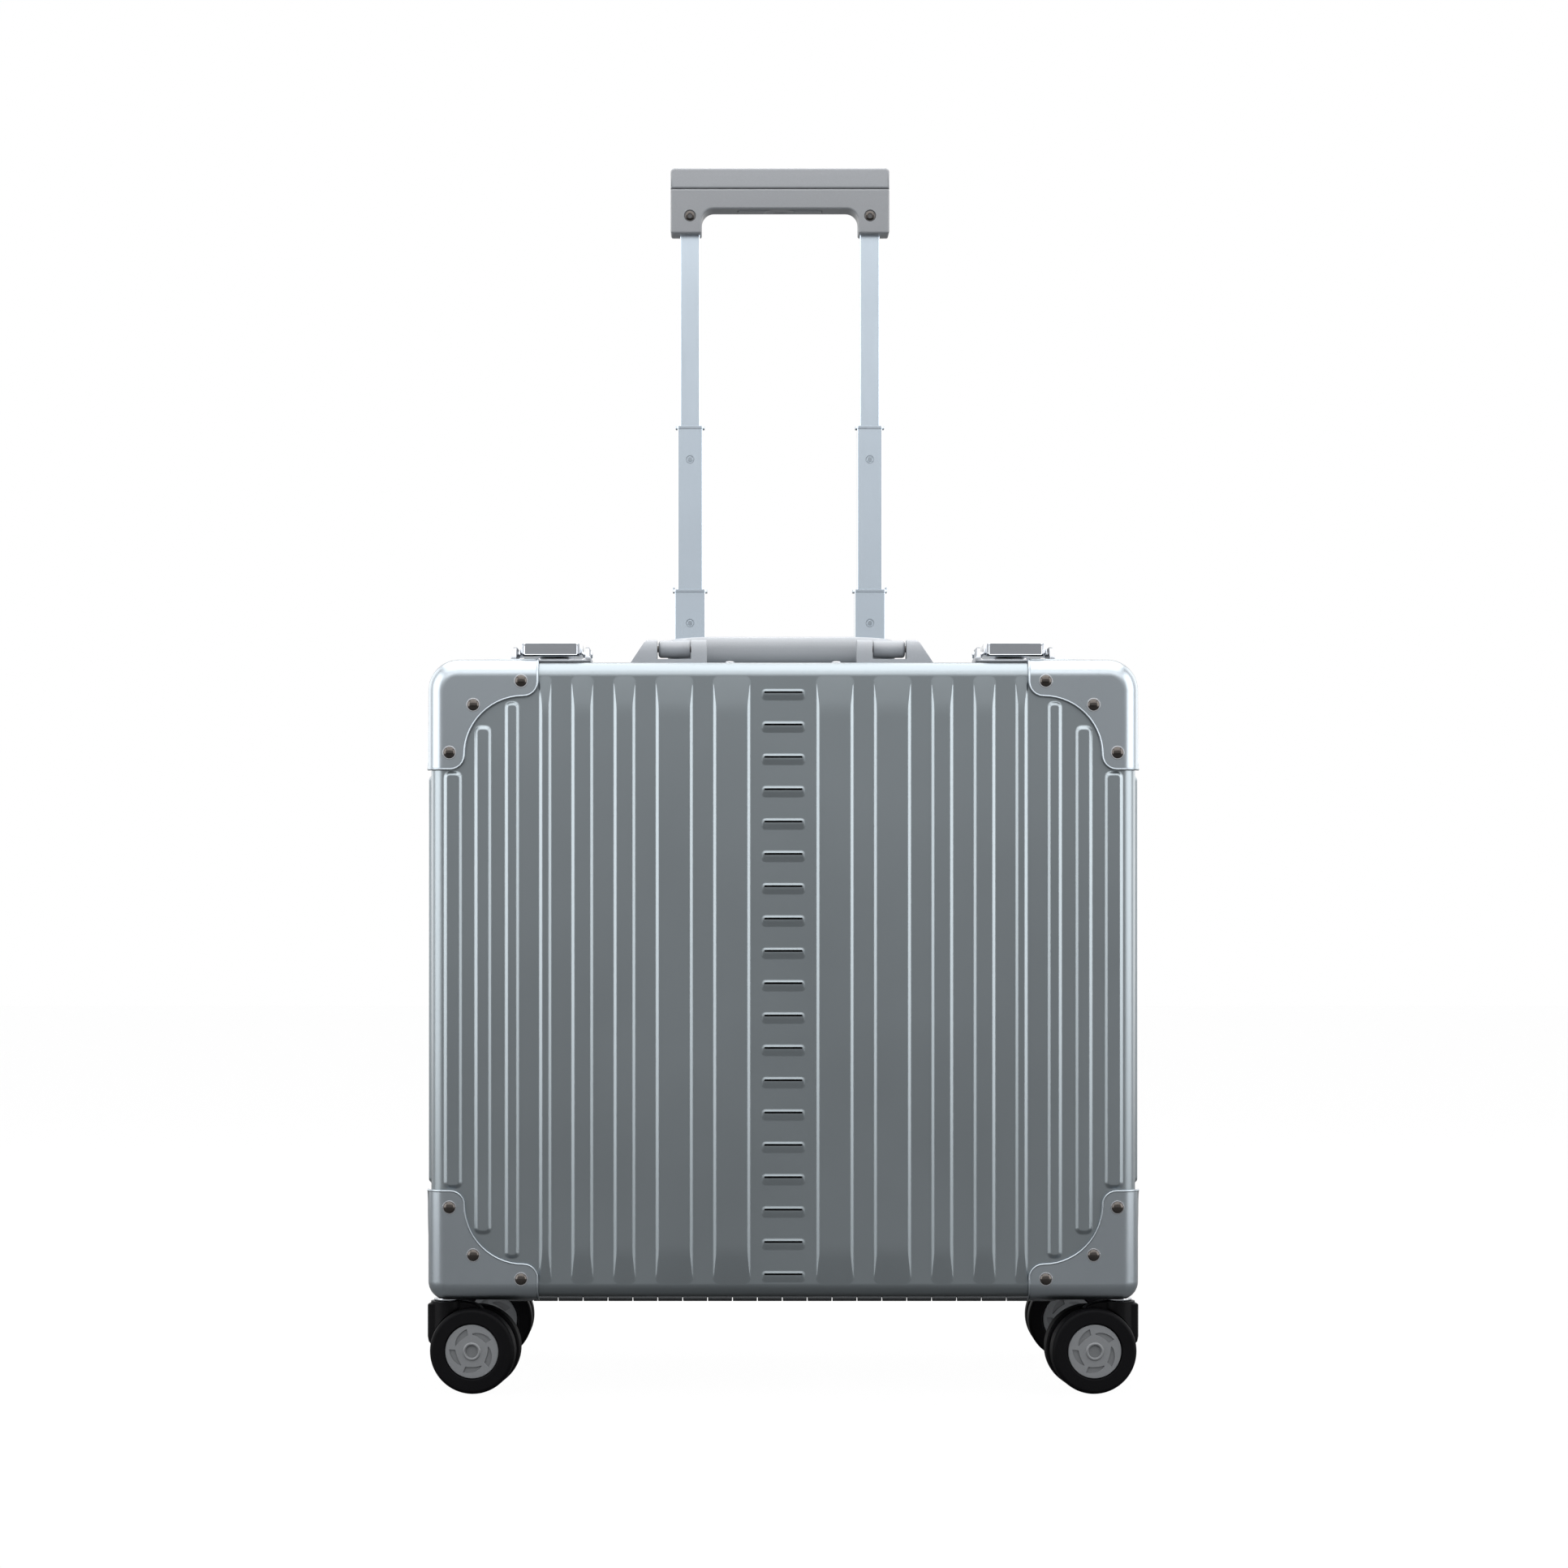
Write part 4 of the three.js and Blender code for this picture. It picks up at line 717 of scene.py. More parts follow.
def tray(name, half, grow, open_y, wall, face=FACE):
    """One half of the case as an open tray."""
    side = ROWS[half]
    outer = side * (face + grow)
    shell = case_block(name, grow, outer, open_y)
    with editing(shell):
        bevel(EDGE_RADIUS + grow, 7, at(1, outer))
        select("faces", facing(0, -side, 0))
        bpy.ops.mesh.delete(type="FACE")
    return thicken(shell, wall)


def band(name, grow, start, end, wall, corner=7):
    """A band round the case between two planes."""
    ring = case_block(name, grow, start, end, corner)
    with editing(ring):
        select("faces", lambda face: abs(face.normal.y) > 0.99)
        bpy.ops.mesh.delete(type="FACE")
    return thicken(ring, wall)


def bead(width, long, height, flank, corner, wall, run_out=(0, 0)):
    """A pressed bar with eased sloping sides, placed on a wall; its two ends may run out gently."""
    x, y = (width + flank) / 2, (long + flank) / 2
    bar = box("bead", (-x, -y, -0.6), (x, y, 0.02))
    with editing(bar):
        bevel(min(corner, 0.4 * (width + flank)), 4, along(2))
        inset(facing(0, 0, 1), *flank_steps(flank, height))
        risen = 0
        for _, rise in flank_steps(flank, height):
            risen += rise
            level = risen + 0.02
            drift = 1 - math.sqrt(max(0, 1 - risen / height))
            for end, run in zip((-1, 1), run_out):
                if run:
                    select("verts", lambda v: middle(v).y * end > 0 and abs(middle(v).z - level) < 0.01)
                    bpy.ops.transform.translate(value=Vector((0, -end * run * drift, 0)) * MM)
    return move(bar, wall)


def guard_outline(distance):
    """Height of a corner guard's outline at a distance along its other edge."""
    arm = GUARD_ARM - GUARD_ARM_END
    elbow = GUARD_ARM + GUARD_SWEEP
    if distance >= GUARD_REACH:
        return 0
    if distance >= elbow:
        return arm + math.sqrt(GUARD_ARM_END**2 - (distance - elbow) ** 2)
    if distance >= GUARD_ARM:
        return elbow - math.sqrt(GUARD_SWEEP**2 - (elbow - distance) ** 2)
    return GUARD_REACH


def face_beads(half):
    """The upright beads of the lid's or the back's face."""
    side, flank = ROWS[half], sizes("bead_flank")
    beads, edge = [], 0
    for valley, width in BEAD_ROWS:
        x = edge + valley + width / 2
        edge += valley + width
        guard = guard_outline(HALF_WIDTH + GUARD_GROW - edge - flank / 2)
        end = guard - GUARD_GROW + BEAD_GUARD_GAP if guard else BEAD_END_MARGIN
        run_out = (0, 0) if guard else (BEAD_RUN_OUT, BEAD_RUN_OUT)
        wall = on_wall((0, side, 0), (x, side * FACE, MIDDLE))
        beads.append(bead(width, HEIGHT - 2 * end, FACE_BEAD_HEIGHT, flank, 4.2, wall, run_out))
        beads.append(copy_of(beads[-1], "bead", place(-2 * x)))
    return beads


def side_beads(half):
    """The upright beads of the two side walls, from the closing frame to the face."""
    side, flank = ROWS[half], sizes("bead_flank")
    guard_edge = FACE + GUARD_GROW - GUARD_DEPTH
    room = abs(side * FACE - OPEN[half]) - EDGE_RADIUS - SIDE_BEAD_WIDTH / 2
    beads, run = [], SIDE_BEAD_PITCH / 2
    while run < room:
        y = OPEN[half] + side * run
        beside_guard = abs(y) + SIDE_BEAD_WIDTH / 2 + flank > guard_edge
        end = (GUARD_REACH if beside_guard else TOP_CORNER) + BEAD_GUARD_GAP
        for hand in SIDES.values():
            wall = on_wall((hand, 0, 0), (hand * HALF_WIDTH, y, MIDDLE))
            long = HEIGHT - 2 * end
            beads.append(bead(SIDE_BEAD_WIDTH, long, BEAD_HEIGHT, flank, 4.2, wall))
        run += SIDE_BEAD_PITCH
    return beads


def slats():
    """The ladder of short bars down the middle of the lid, each with a longer lower slope."""
    stand = on_wall((0, -1, 0), (0, -FACE, TOP - SLAT["margin"]))
    height = sizes("slat_height")
    slat = bead(SLAT["length"], SLAT["width"], height, SLAT["flank"], 2.6, stand, (SLAT["run_out"], 0))
    return spread(slat, *(place(0, 0, -i * SLAT["pitch"]) for i in range(SLAT["count"])))


def dome(radius, height):
    """A low domed head on the XY plane."""
    head = rod("dome", (0, 0, -0.8), (0, 0, 0.35), radius, 28)
    with editing(head):
        inset(facing(0, 0, 1), *dome_steps(radius, height - 0.35))
    return head


def rivet(radius, height, seat=0.6):
    """A domed head on a bright seat, on the XY plane; the head's dark colour is painted shade, a painted
    dark reflection.
    """
    ring = soften(rod("seat", (0, 0, -0.8), (0, 0, 0.4), radius + seat, 28), 0.25)
    return join([paint(dome(radius, height), "dark_nickel"), paint(ring, "bright_nickel")], "rivet")


class TROLLEYCASE_OT_shells(bpy.types.Operator):
    """Presses the two half shells, with their beads and the lid's ladder of slats."""

    bl_idname = "trolley_case.shells"
    bl_label = "Pressed Shells"

    def execute(self, context):
        for half in ROWS:
            shell = tray(f"pressed_{half}_shell", half, 0, OPEN[half], SHEET)
            if half == "rear":
                low, high = span("trolley_channel_right")
                grow = Vector((0.3, 0.3, 3))
                hole = rounded_bar("hole", low - grow, high + grow, 2)
                cut(shell, *spread(hole, mirror(-1), mirror()))
            pieces = [shell, *face_beads(half), *side_beads(half)]
            if half == "front":
                pieces += slats()
            shell = paint(join(pieces, shell.name), "pressed_sheet")
            if half == "front":
                spots = [place(x, TOP_RIVET["y"], TOP) for x in (-TOP_RIVET["x"], TOP_RIVET["x"])]
                head = paint(dome(TOP_RIVET["radius"], TOP_RIVET["height"]), "satin_fitting")
                shell = join([shell, *spread(head, *spots)], shell.name)
            stand_in(shell, f"{half}_shell")
        return {"FINISHED"}


# ---- corner guards -------------------------------------------------------------------------------


def guard_block(level, grow):
    """The right front corner of the case as a full solid, grown all round."""
    x, y = HALF_WIDTH + grow, -FACE - grow
    z = TOP + grow if level > 0 else BOTTOM - grow
    block = box("guard", (x - 100, y, z - level * 100), (x, y + 100, z))
    with editing(block):
        bevel((TOP_CORNER if level > 0 else BOTTOM_CORNER) + grow, 10, along(1), at(0, x), at(2, z))
        bevel(EDGE_RADIUS + grow, 8, at(1, y), lambda e: middle(e).x > x - 99 and abs(middle(e).z - z) < 99)
    return block


def guard_cutter(u, v, w, depth, corner):
    """An L-shaped bar along w: arms along u and v, a swept inner corner and round ends."""
    bar = box("guard_cutter", [-EDGE_RADIUS] * 3, (GUARD_ARM, GUARD_ARM, 90))
    with editing(bar):
        select("faces", facing(1, 0, 0))
        extrude(GUARD_REACH - GUARD_ARM, 0, 0)
        select("faces", facing(0, 1, 0), lambda face: middle(face).x < GUARD_ARM)
        extrude(0, GUARD_REACH - GUARD_ARM, 0)
        bpy.ops.mesh.select_all(action="SELECT")
        bpy.ops.mesh.dissolve_limited(angle_limit=0.01)
        bevel(GUARD_SWEEP, 14, along(2), at(0, GUARD_ARM), at(1, GUARD_ARM))
        far = GUARD_REACH - 0.1
        bevel(GUARD_ARM_END, 6, along(2), lambda e: max(middle(e).xy) > far and min(middle(e).xy) > 1)
    return move(second_slot(bar), axes(u, v * depth / GUARD_REACH, w, corner))


def rolled_rim(guard):
    """A round bead along the border of the guard's outer skin, as a piece of its own."""
    with editing(guard):
        select("edges", lambda edge: len({face.material_index for face in edge.link_faces}) == 2)
        bpy.ops.mesh.duplicate()
        bpy.ops.mesh.separate(type="SELECTED")
    rim = next(piece for piece in bpy.context.selected_objects if piece is not guard)
    with editing(rim):
        bpy.ops.mesh.select_all(action="SELECT")
        bpy.ops.mesh.remove_doubles(threshold=0.5 * MM)
    bpy.ops.object.convert(target="CURVE")
    rim.data.bevel_depth = sizes("rim_radius") * MM
    rim.data.bevel_resolution = 2
    bpy.ops.object.convert(target="MESH")
    with editing(rim):
        bpy.ops.mesh.select_all(action="SELECT")
        bpy.ops.mesh.remove_doubles(threshold=0.01 * MM)
        bpy.ops.mesh.normals_make_consistent(inside=False)
    return rim


def corner_guard(level):
    """The guard of the lid's right corner at one level."""
    right, into, inward = Vector((-1, 0, 0)), Vector((0, 1, 0)), Vector((0, 0, -level))
    x, y = HALF_WIDTH + GUARD_GROW, -FACE - GUARD_GROW
    z = TOP + GUARD_GROW if level > 0 else BOTTOM - GUARD_GROW
    corner = (x, y, z)
    guard = paint(paint(guard_block(level, GUARD_GROW), "guard_sheet"), "polished_edge", lambda p: False)
    cutters = [
        guard_cutter(right, inward, into, GUARD_REACH, corner),
        guard_cutter(inward, into, right, GUARD_DEPTH, corner),
        guard_cutter(right, into, inward, GUARD_DEPTH, corner),
    ]
    cut(guard, *cutters, operation="INTERSECT")
    rim = paint(rolled_rim(guard), "rolled_rim")
    cut(guard, guard_block(level, GUARD_SEAT))
    spots = [on_wall((0, -1, 0), (x - u, y, z - level * v)) for u, v in RIVET_SPOTS]
    return join([guard, rim, *spread(rivet(sizes("rivet_radius"), 1.8), *spots)], "guard")


class TROLLEYCASE_OT_guards(bpy.types.Operator):
    """Forms the eight riveted corner guards with their rolled rims."""

    bl_idname = "trolley_case.guards"
    bl_label = "Corner Guards"

    def execute(self, context):
        for level_name, level in LEVELS.items():
            guard = corner_guard(level)
            for half, row in ROWS.items():
                for side_name, side in SIDES.items():
                    node = f"{half}_guard_{level_name}_{side_name}"
                    made = copy_of(guard, f"formed_{node}", mirror(side, -row))
                    stand_in(made, node)
            discard(guard)
        return {"FINISHED"}


# ---- closing frames and hinge --------------------------------------------------------------------

HINGE = {"radius": 3.8, "pitch": 15.5, "gap": 0.5, "leaf": 1.2, "near": 4.4, "far": 13.4, "pin": 1.5}


def outward(face):
    """Test for faces on the outside of a band."""
    spot = middle(face)
    outwards = face.normal.x * spot.x + face.normal.z * (spot.z - MIDDLE)
    return abs(face.normal.y) < 0.1 and outwards > 0


class TROLLEYCASE_OT_frames(bpy.types.Operator):
    """Rolls the two grooved closing frames that meet at the parting plane."""

    bl_idname = "trolley_case.frames"
    bl_label = "Closing Frames"

    def execute(self, context):
        groove = sizes("frame_groove")
        for half, side in ROWS.items():
            low, high = span(f"{half}_frame")
            parting, end = (high.y, low.y) if side < 0 else (low.y, high.y)
            step = OPEN[half] - side * 0.3
            rail = band(f"rolled_{half}_frame", 0.5, parting, step, 3.5)
            with editing(rail):
                inset(outward, (2.6, 0), (0.4, -groove), (0.5, 0), (0.4, groove))
            soften(rail, 0.3, 2, 60)
            tongue = band("tongue", -1.5, step - side, end, 1.5)
            rail = paint(join([rail, tongue], rail.name), "closing_frame")
            stand_in(rail, f"{half}_frame", angle=25)
        refinish("seal_rubber", "frame_seal")
        return {"FINISHED"}


class TROLLEYCASE_OT_hinge(bpy.types.Operator):
    """Rolls the piano hinge: interleaved knuckles, two screwed leaves and the pin."""

    bl_idname = "trolley_case.hinge"
    bl_label = "Piano Hinge"

    def execute(self, context):
        low, high = span("hinge_pin")
        y, z = centre("hinge_pin").yz
        radius, pitch = HINGE["radius"], HINGE["pitch"]
        top, under = z + radius, z + radius - HINGE["leaf"]
        screw = move(rivet(1.7, 0.7, 0.2), axes((1, 0, 0), (0, -1, 0), (0, 0, -1)))
        count = round((high.x - low.x) / pitch)
        for half, side in ROWS.items():
            near, far = y + side * HINGE["near"], y + side * HINGE["far"]
            pieces = [soften(box("leaf", (low.x, near, under), (high.x, far, top)), 0.3)]
            for i in range(0 if side < 0 else 1, count, 2):
                start = low.x + i * pitch + HINGE["gap"] / 2
                end = start + pitch - HINGE["gap"]
                pieces.append(soften(rod("knuckle", (start, y, z), (end, y, z), radius, 28), 0.35))
                pieces.append(box("link", (start, y, under), (end, near + side, top)))
            metalwork = [paint(piece, "hinge_steel") for piece in pieces]
            spots = [place(low.x + i * pitch, (near + far) / 2, under) for i in range(1, count, 2)]
            metalwork += [copy_of(screw, "leaf_screw", spot) for spot in spots]
            stand_in(join(metalwork, f"rolled_hinge_leaf_{half}"), f"hinge_leaf_{half}")
        discard(screw)
        pin = rod("drawn_hinge_pin", (low.x, y, z), (high.x, y, z), HINGE["pin"], 24)
        stand_in(paint(soften(pin, 0.3), "hinge_steel"), "hinge_pin")
        return {"FINISHED"}


# ---- linings -------------------------------------------------------------------------------------

LINING = {"wall": 1.5, "board": 4, "margin": 24, "corner": 30, "piping": 3, "seam": 9}


def cloth_board(low, high, back, front):
    """A stiff cloth-covered board with a stitched border, from its back to its front plane."""
    margin, corner = LINING["margin"], LINING["corner"]
    ends = (low.x + margin, back, low.z + margin), (high.x - margin, front, high.z - margin)
    board = rounded_bar("board", *ends, corner, 1, 8)
    with editing(board):
        bevel(3.6, 5, at(1, front))
        border, stitch = (12, 0.3), [(0.8, -0.6), (0.5, -0.1), (0.8, 0.6)]
        inset(facing(0, front - back, 0), border, *stitch)
    return board


class TROLLEYCASE_OT_linings(bpy.types.Operator):
    """Sews the cloth-covered trays inside both halves, with boards and piped edges."""

    bl_idname = "trolley_case.linings"
    bl_label = "Linings"

    def execute(self, context):
        grow, wall = -3.3, LINING["wall"]
        for half, side in ROWS.items():
            low, high = span(f"{half}_lining")
            outer, open_y = (-low.y, high.y) if side < 0 else (high.y, low.y)
            cloth = tray(f"sewn_{half}_lining", half, grow, open_y, wall, outer - grow)
            base = side * (outer - wall)
            board = cloth_board(low, high, base + side * 0.5, base - side * LINING["board"])
            corner = BOTTOM_CORNER
            piping = band("piping", grow, open_y, open_y + side * LINING["piping"], 2.6, corner)
            seam_start = open_y + side * LINING["seam"]
            seam = band("seam", grow - wall - 0.05, seam_start, seam_start + side * 1.4, 0.5, corner)
            cloths = [paint(piece, "lining_cloth") for piece in (cloth, board)]
            softened = soften(piping, 1.1, 3, 60), soften(seam, 0.2)
            trims = [paint(piece, "lining_piping") for piece in softened]
            stand_in(join([*cloths, *trims], cloth.name), f"{half}_lining", angle=50)
        return {"FINISHED"}


# ---- trolley -------------------------------------------------------------------------------------

TUBES = {"lower": (20.0, 15.2), "middle": (16.4, 11.6), "upper": (12.8, 8.0)}
TUBE_WALL = 1.4
COLLAR = {"proud": 1.3, "height": 1.6}
LUG = {"width": 1.2, "depth": 6, "height": 1.8}
STUD = {"radius": 2.8, "drop": 21.9}
BEZEL_SCREWS = (-30, 30)


def hollow_bar(name, low, high, wall, corner):
    """An upright rounded tube open at both ends."""
    bar = rounded_bar(name, low, high, corner)
    with editing(bar):
        select("faces", lambda face: abs(face.normal.z) > 0.99)
        bpy.ops.mesh.inset(thickness=wall * MM, use_individual=True)
        bpy.ops.mesh.bridge_edge_loops()
    return bar


def stage_tube(stage, side_name):
    """One stage of the trolley on one side: tube, and on the outer two a collar and a stud."""
    low, high = span(f"{stage}_tube_{side_name}")
    width, depth = TUBES[stage]
    x, y = round((low.x + high.x) / 2), (low.y + high.y) / 2
    half = Vector((width / 2, depth / 2, 0))
    top = Vector((x, y, high.z - (LUG["height"] if stage == "lower" else 0)))
    tube = hollow_bar("tube", Vector((x, y, low.z)) - half, top + half, TUBE_WALL, sizes("tube_corner"))
    pieces = [paint(tube, "drawn_tube")]
    if stage == "upper":
        return pieces
    proud = Vector((COLLAR["proud"], COLLAR["proud"], 0))
    foot = top - Vector((0, 0, COLLAR["height"]))
    collar = hollow_bar("collar", foot - half - proud, top + half + proud, TUBE_WALL + proud.x, 2.6)
    face, stud_z = y - depth / 2, top.z - STUD["drop"]
    stud = rod("stud", (x, face + 0.7, stud_z), (x, face - 0.2, stud_z), STUD["radius"], 28)
    with editing(stud):
        inset(facing(0, -1, 0), (0.5, 0), (0.25, -0.25), (0.3, 0), (0.25, 0.2))
    pieces += [paint(soften(collar, 0.35), "tube_collar"), paint(stud, "tube_stud")]
    if stage == "lower":
        side, reach = SIDES[side_name], LUG["depth"] / 2
        outer = x + side * (half.x + proud.x)
        lug = box("lug", (outer, y - reach, foot.z), (outer - side * LUG["width"], y + reach, high.z))
        pieces.append(paint(soften(lug, 0.3), "tube_collar"))
    return pieces


class TROLLEYCASE_OT_trolley(bpy.types.Operator):
    """Draws the three nested trolley stages and moulds the bezel that they run in."""

    bl_idname = "trolley_case.trolley"
    bl_label = "Trolley"

    def execute(self, context):
        for stage in TUBES:
            for side_name in SIDES:
                node = f"{stage}_tube_{side_name}"
                stand_in(join(stage_tube(stage, side_name), f"drawn_{node}"), node)
        low, high = span("trolley_bezel")
        plate = soften(rounded_bar("moulded_bezel", low, high, 6, 2, 8), 1.1, 3)
        width, depth = TUBES["lower"]
        half = Vector((width / 2 + 0.4, depth / 2 + 0.4, 9))
        middle_y = (low.y + high.y) / 2
        spot = Vector((round(centre("lower_tube_right").x), middle_y, low.z))
        opening = rounded_bar("opening", spot - half, spot + half, 2.4)
        cut(plate, *spread(opening, mirror(-1), mirror()))
        screws = spread(rivet(2.2, 0.6, 0.4), *(place(x, middle_y, high.z) for x in BEZEL_SCREWS))
        stand_in(join([paint(plate, "cast_grip"), *screws], "moulded_bezel"), "trolley_bezel")
        refinish("satin_fitting", "trolley_channel_left", "trolley_channel_right")
        refinish("dark_moulding", "trolley_foot")
        return {"FINISHED"}


GRIP = {"leg_width": 20.3, "leg_height": 16, "inner_radius": 8, "socket": 15, "play": 0.3}
GRIP_SCREW = {"radius": 3.9, "depth": 1.0, "rise": 11.5, "head": 3.0, "ring": 3.85}
GRIP_POCKET = {"play": 0.4, "below": 6, "above": 3.3}


class TROLLEYCASE_OT_grip(bpy.types.Operator):
    """Casts the trolley grip: yoke with its screws, cap and release button."""

    bl_idname = "trolley_case.grip"
    bl_label = "Trolley Grip"

    def execute(self, context):
        edge = sizes("grip_edge")
        low, high = span("grip_yoke")
        button_low, button_high = span("grip_button")
        y = (low.y + high.y) / 2
        underside = low.z + GRIP["leg_height"]
        inner = high.x - GRIP["leg_width"]
        yoke = box("cast_grip_yoke", low, high)
        gap = box("gap", (-inner, low.y - 5, low.z - 9), (inner, high.y + 5, underside))
        with editing(gap):
            bevel(GRIP["inner_radius"], 8, along(1), at(2, underside))
        cut(yoke, gap)
        soften(yoke, edge, 3)
        width, depth = TUBES["upper"]
        tube_x = round(centre("upper_tube_right").x)
        half = Vector((width / 2 + GRIP["play"], depth / 2 + GRIP["play"], 8))
        recesses, heads = [], []
        for hand in SIDES.values():
            socket = Vector((hand * tube_x, y, low.z + GRIP["socket"] - half.z))
            recesses.append(rounded_bar("socket", socket - half, socket + half, 2.3))
            spot = Vector((hand * tube_x, low.y, low.z + GRIP_SCREW["rise"]))
            back = spot + Vector((0, GRIP_SCREW["depth"], 0))
            recesses.append(rod("recess", spot - Vector((0, 4, 0)), back, GRIP_SCREW["radius"], 36))
            root = back + Vector((0, 0.5, 0))
            head = rod("head", root, back - Vector((0, 0.55, 0)), GRIP_SCREW["head"], 32)
            with editing(head):
                inset(facing(0, -1, 0), (0.4, 0.2), (0.9, 0.1), (0.3, -0.9))
            # painted shade: a dark disc fills the recess floor round the screw head
            ring = rod("ring", root, back - Vector((0, 0.1, 0)), GRIP_SCREW["ring"], 36)
            heads += [paint(head, "dark_nickel"), paint(ring, "screw_head")]
        play = GRIP_POCKET["play"]
        pocket_low = button_low - Vector((play, play, GRIP_POCKET["below"]))
        pocket_high = button_high + Vector((play, play, GRIP_POCKET["above"]))
        recesses.append(rounded_bar("pocket", pocket_low, pocket_high, 3.2))
        cut(yoke, *recesses)
        stand_in(join([paint(yoke, "cast_grip"), *heads], "cast_grip_yoke"), "grip_yoke")

        low, high = span("grip_cap")
        cap = box("cast_grip_cap", low, high)
        with editing(cap):
            bevel(2.6, 6, along(1), at(2, high.z))
            bevel(edge, 3, lambda e: at(1, low.y)(e) or at(1, high.y)(e))
        stand_in(paint(cap, "grip_top"), "grip_cap")

        pad = soften(rounded_bar("cast_grip_button", button_low, button_high, 3), 0.8, 3)
        radius = button_high.x - button_low.x
        scoop_z = button_low.z - radius + 1
        scoop = rod("scoop", (0, y - 12, scoop_z), (0, y + 12, scoop_z), radius, 160)
        stand_in(paint(cut(pad, scoop), "cast_grip"), "grip_button")
        return {"FINISHED"}


# ---- carry handle --------------------------------------------------------------------------------

BAIL = {"bend": 14, "arm_width": 12, "bar_width": 12.5, "arm_height": 8.6, "bar_height": 18, "lift": 0.8}
BARREL_RADIUS = 5.5
BARREL_LENGTH = 20
BARREL_BORE = 2.55
BRACKET = {"block": 9.7, "web": 5.7, "wing": 17.4, "wing_top": 6.5}


def bail_point(share, arm, reach):
    """Place and heading at a share of the way from a barrel to the middle of the bail."""
    bend = BAIL["bend"]
    curve = 1.62 * bend
    straight, across = reach - bend, arm - bend
    run = share * (straight + curve + across)
    if run < straight:
        return Vector((arm, run, 0)), Vector((0, 1, 0))
    if run > straight + curve:
        return Vector((across - (run - straight - curve), reach, 0)), Vector((-1, 0, 0))
    t = (run - straight) / curve
    start, corner, end = Vector((arm, straight, 0)), Vector((arm, reach, 0)), Vector((across, reach, 0))
    spot = start * (1 - t) ** 2 + corner * 2 * t * (1 - t) + end * t**2
    return spot, ((corner - start) * (1 - t) + (end - corner) * t).normalized()


def bail(pivot, arm, reach):
    """The swept bow of the carry handle, deepest in its middle."""
    rings, steps = [], 26
    for i in range(steps + 1):
        share = 0.02 + 0.98 * i / steps
        spot, heading = bail_point(share, arm, reach)
        across = Vector((-heading.y, heading.x, 0))
        crown = math.sin(min(1, share / 0.55) * math.pi / 2)
        width = BAIL["arm_width"] + (BAIL["bar_width"] - BAIL["arm_width"]) * share
        height = BAIL["arm_height"] + (BAIL["bar_height"] - BAIL["arm_height"]) * crown
        middle_line = Vector((0, pivot.y, pivot.z + BAIL["lift"] * crown)) + spot
        ring = []
        for k in range(28):
            turn = 2 * math.pi * (k + 0.5) / 28
            c, s = math.cos(turn), math.sin(turn)
            sideways = across * (0.5 * width * math.copysign(abs(c) ** 0.85, c))
            upwards = Vector((0, 0, 0.5 * height * math.copysign(abs(s) ** 0.85, s)))
            ring.append(middle_line + sideways + upwards)
        rings.append(ring)
    other = [[Vector((-p.x, p.y, p.z)) for p in ring] for ring in reversed(rings[:-1])]
    return loft("bail", rings + other)


def handle_bracket(pivot):
    """The right bracket: block, low web under the barrel and ramped wing."""
    low, high = span("handle_bracket_right")
    block_out, wing_in = low.x + BRACKET["block"], high.x - BRACKET["wing"]
    web, wing_top = low.z + BRACKET["web"], wing_in + BRACKET["wing_top"]
    front = [
        (low.x, low.z),
        (high.x + 1.6, low.z),
        (wing_top + 1.9, high.z - 2.0),
        (wing_top + 0.4, high.z - 0.6),
        (wing_top - 1.6, high.z),
        (wing_in, high.z),
        (wing_in, web),
        (block_out, web),
        (block_out, high.z),
        (low.x, high.z),
    ]
    half, rise = (high.y - low.y) / 2, high.z - web
    side = [(pivot.y - half, low.z), (pivot.y + half, low.z)]
    for i in range(17):
        c, s = math.cos(math.pi * i / 16), math.sin(math.pi * i / 16)
        side.append((pivot.y + half * math.copysign(abs(c) ** 0.35, c), web + rise * abs(s) ** 0.75))
    bracket = profile_bar("cast_bracket", front, 1, low.y - 1, high.y + 1)
    cut(bracket, profile_bar("side", side, 0, low.x - 5, high.x + 5), operation="INTERSECT")
    start, end = block_out - 5.3, wing_in + 5.3
    cut(bracket, rod("bore", (start, *pivot.yz), (end, *pivot.yz), 2.3, 28))
    return paint(soften(bracket, 0.6, 3, 28), "painted_fitting")


class TROLLEYCASE_OT_carry_handle(bpy.types.Operator):
    """Casts the carry handle's bail and the two brackets that it swings in."""

    bl_idname = "trolley_case.carry_handle"
    bl_label = "Carry Handle"

    def execute(self, context):
        pivot = centre("handle_pin_right")
        high = span("carry_handle")[1]
        inner = high.x - BARREL_LENGTH
        barrel = rod("barrel", (inner, *pivot.yz), (high.x, *pivot.yz), BARREL_RADIUS, 44)
        with editing(barrel):
            bevel(2.0, 5, at(0, high.x))
            bevel(0.6, 2, at(0, inner))
        cut(barrel, rod("bore", (inner - 1, *pivot.yz), (high.x + 1, *pivot.yz), BARREL_BORE, 28))
        bow = bail(pivot, high.x - BARREL_LENGTH / 2, high.y - pivot.y - 0.475 * BAIL["bar_width"])
        cut(bow, rod("bore", (-high.x - 1, *pivot.yz), (high.x + 1, *pivot.yz), BARREL_BORE, 28))
        handle = join([bow, barrel, copy_of(barrel, "left_barrel", mirror(-1))], "cast_carry_handle")
        stand_in(paint(handle, "painted_bail"), "carry_handle", angle=40)
        bracket = handle_bracket(pivot)
        for side_name, hand in SIDES.items():
            made = copy_of(bracket, f"cast_handle_bracket_{side_name}", mirror(hand))
            stand_in(made, f"handle_bracket_{side_name}", angle=30)
        discard(bracket)
        refinish("dark_nickel", "handle_pin_left", "handle_pin_right")
        return {"FINISHED"}


# ---- draw latches, drawn about the middle of their width -----------------------------------------

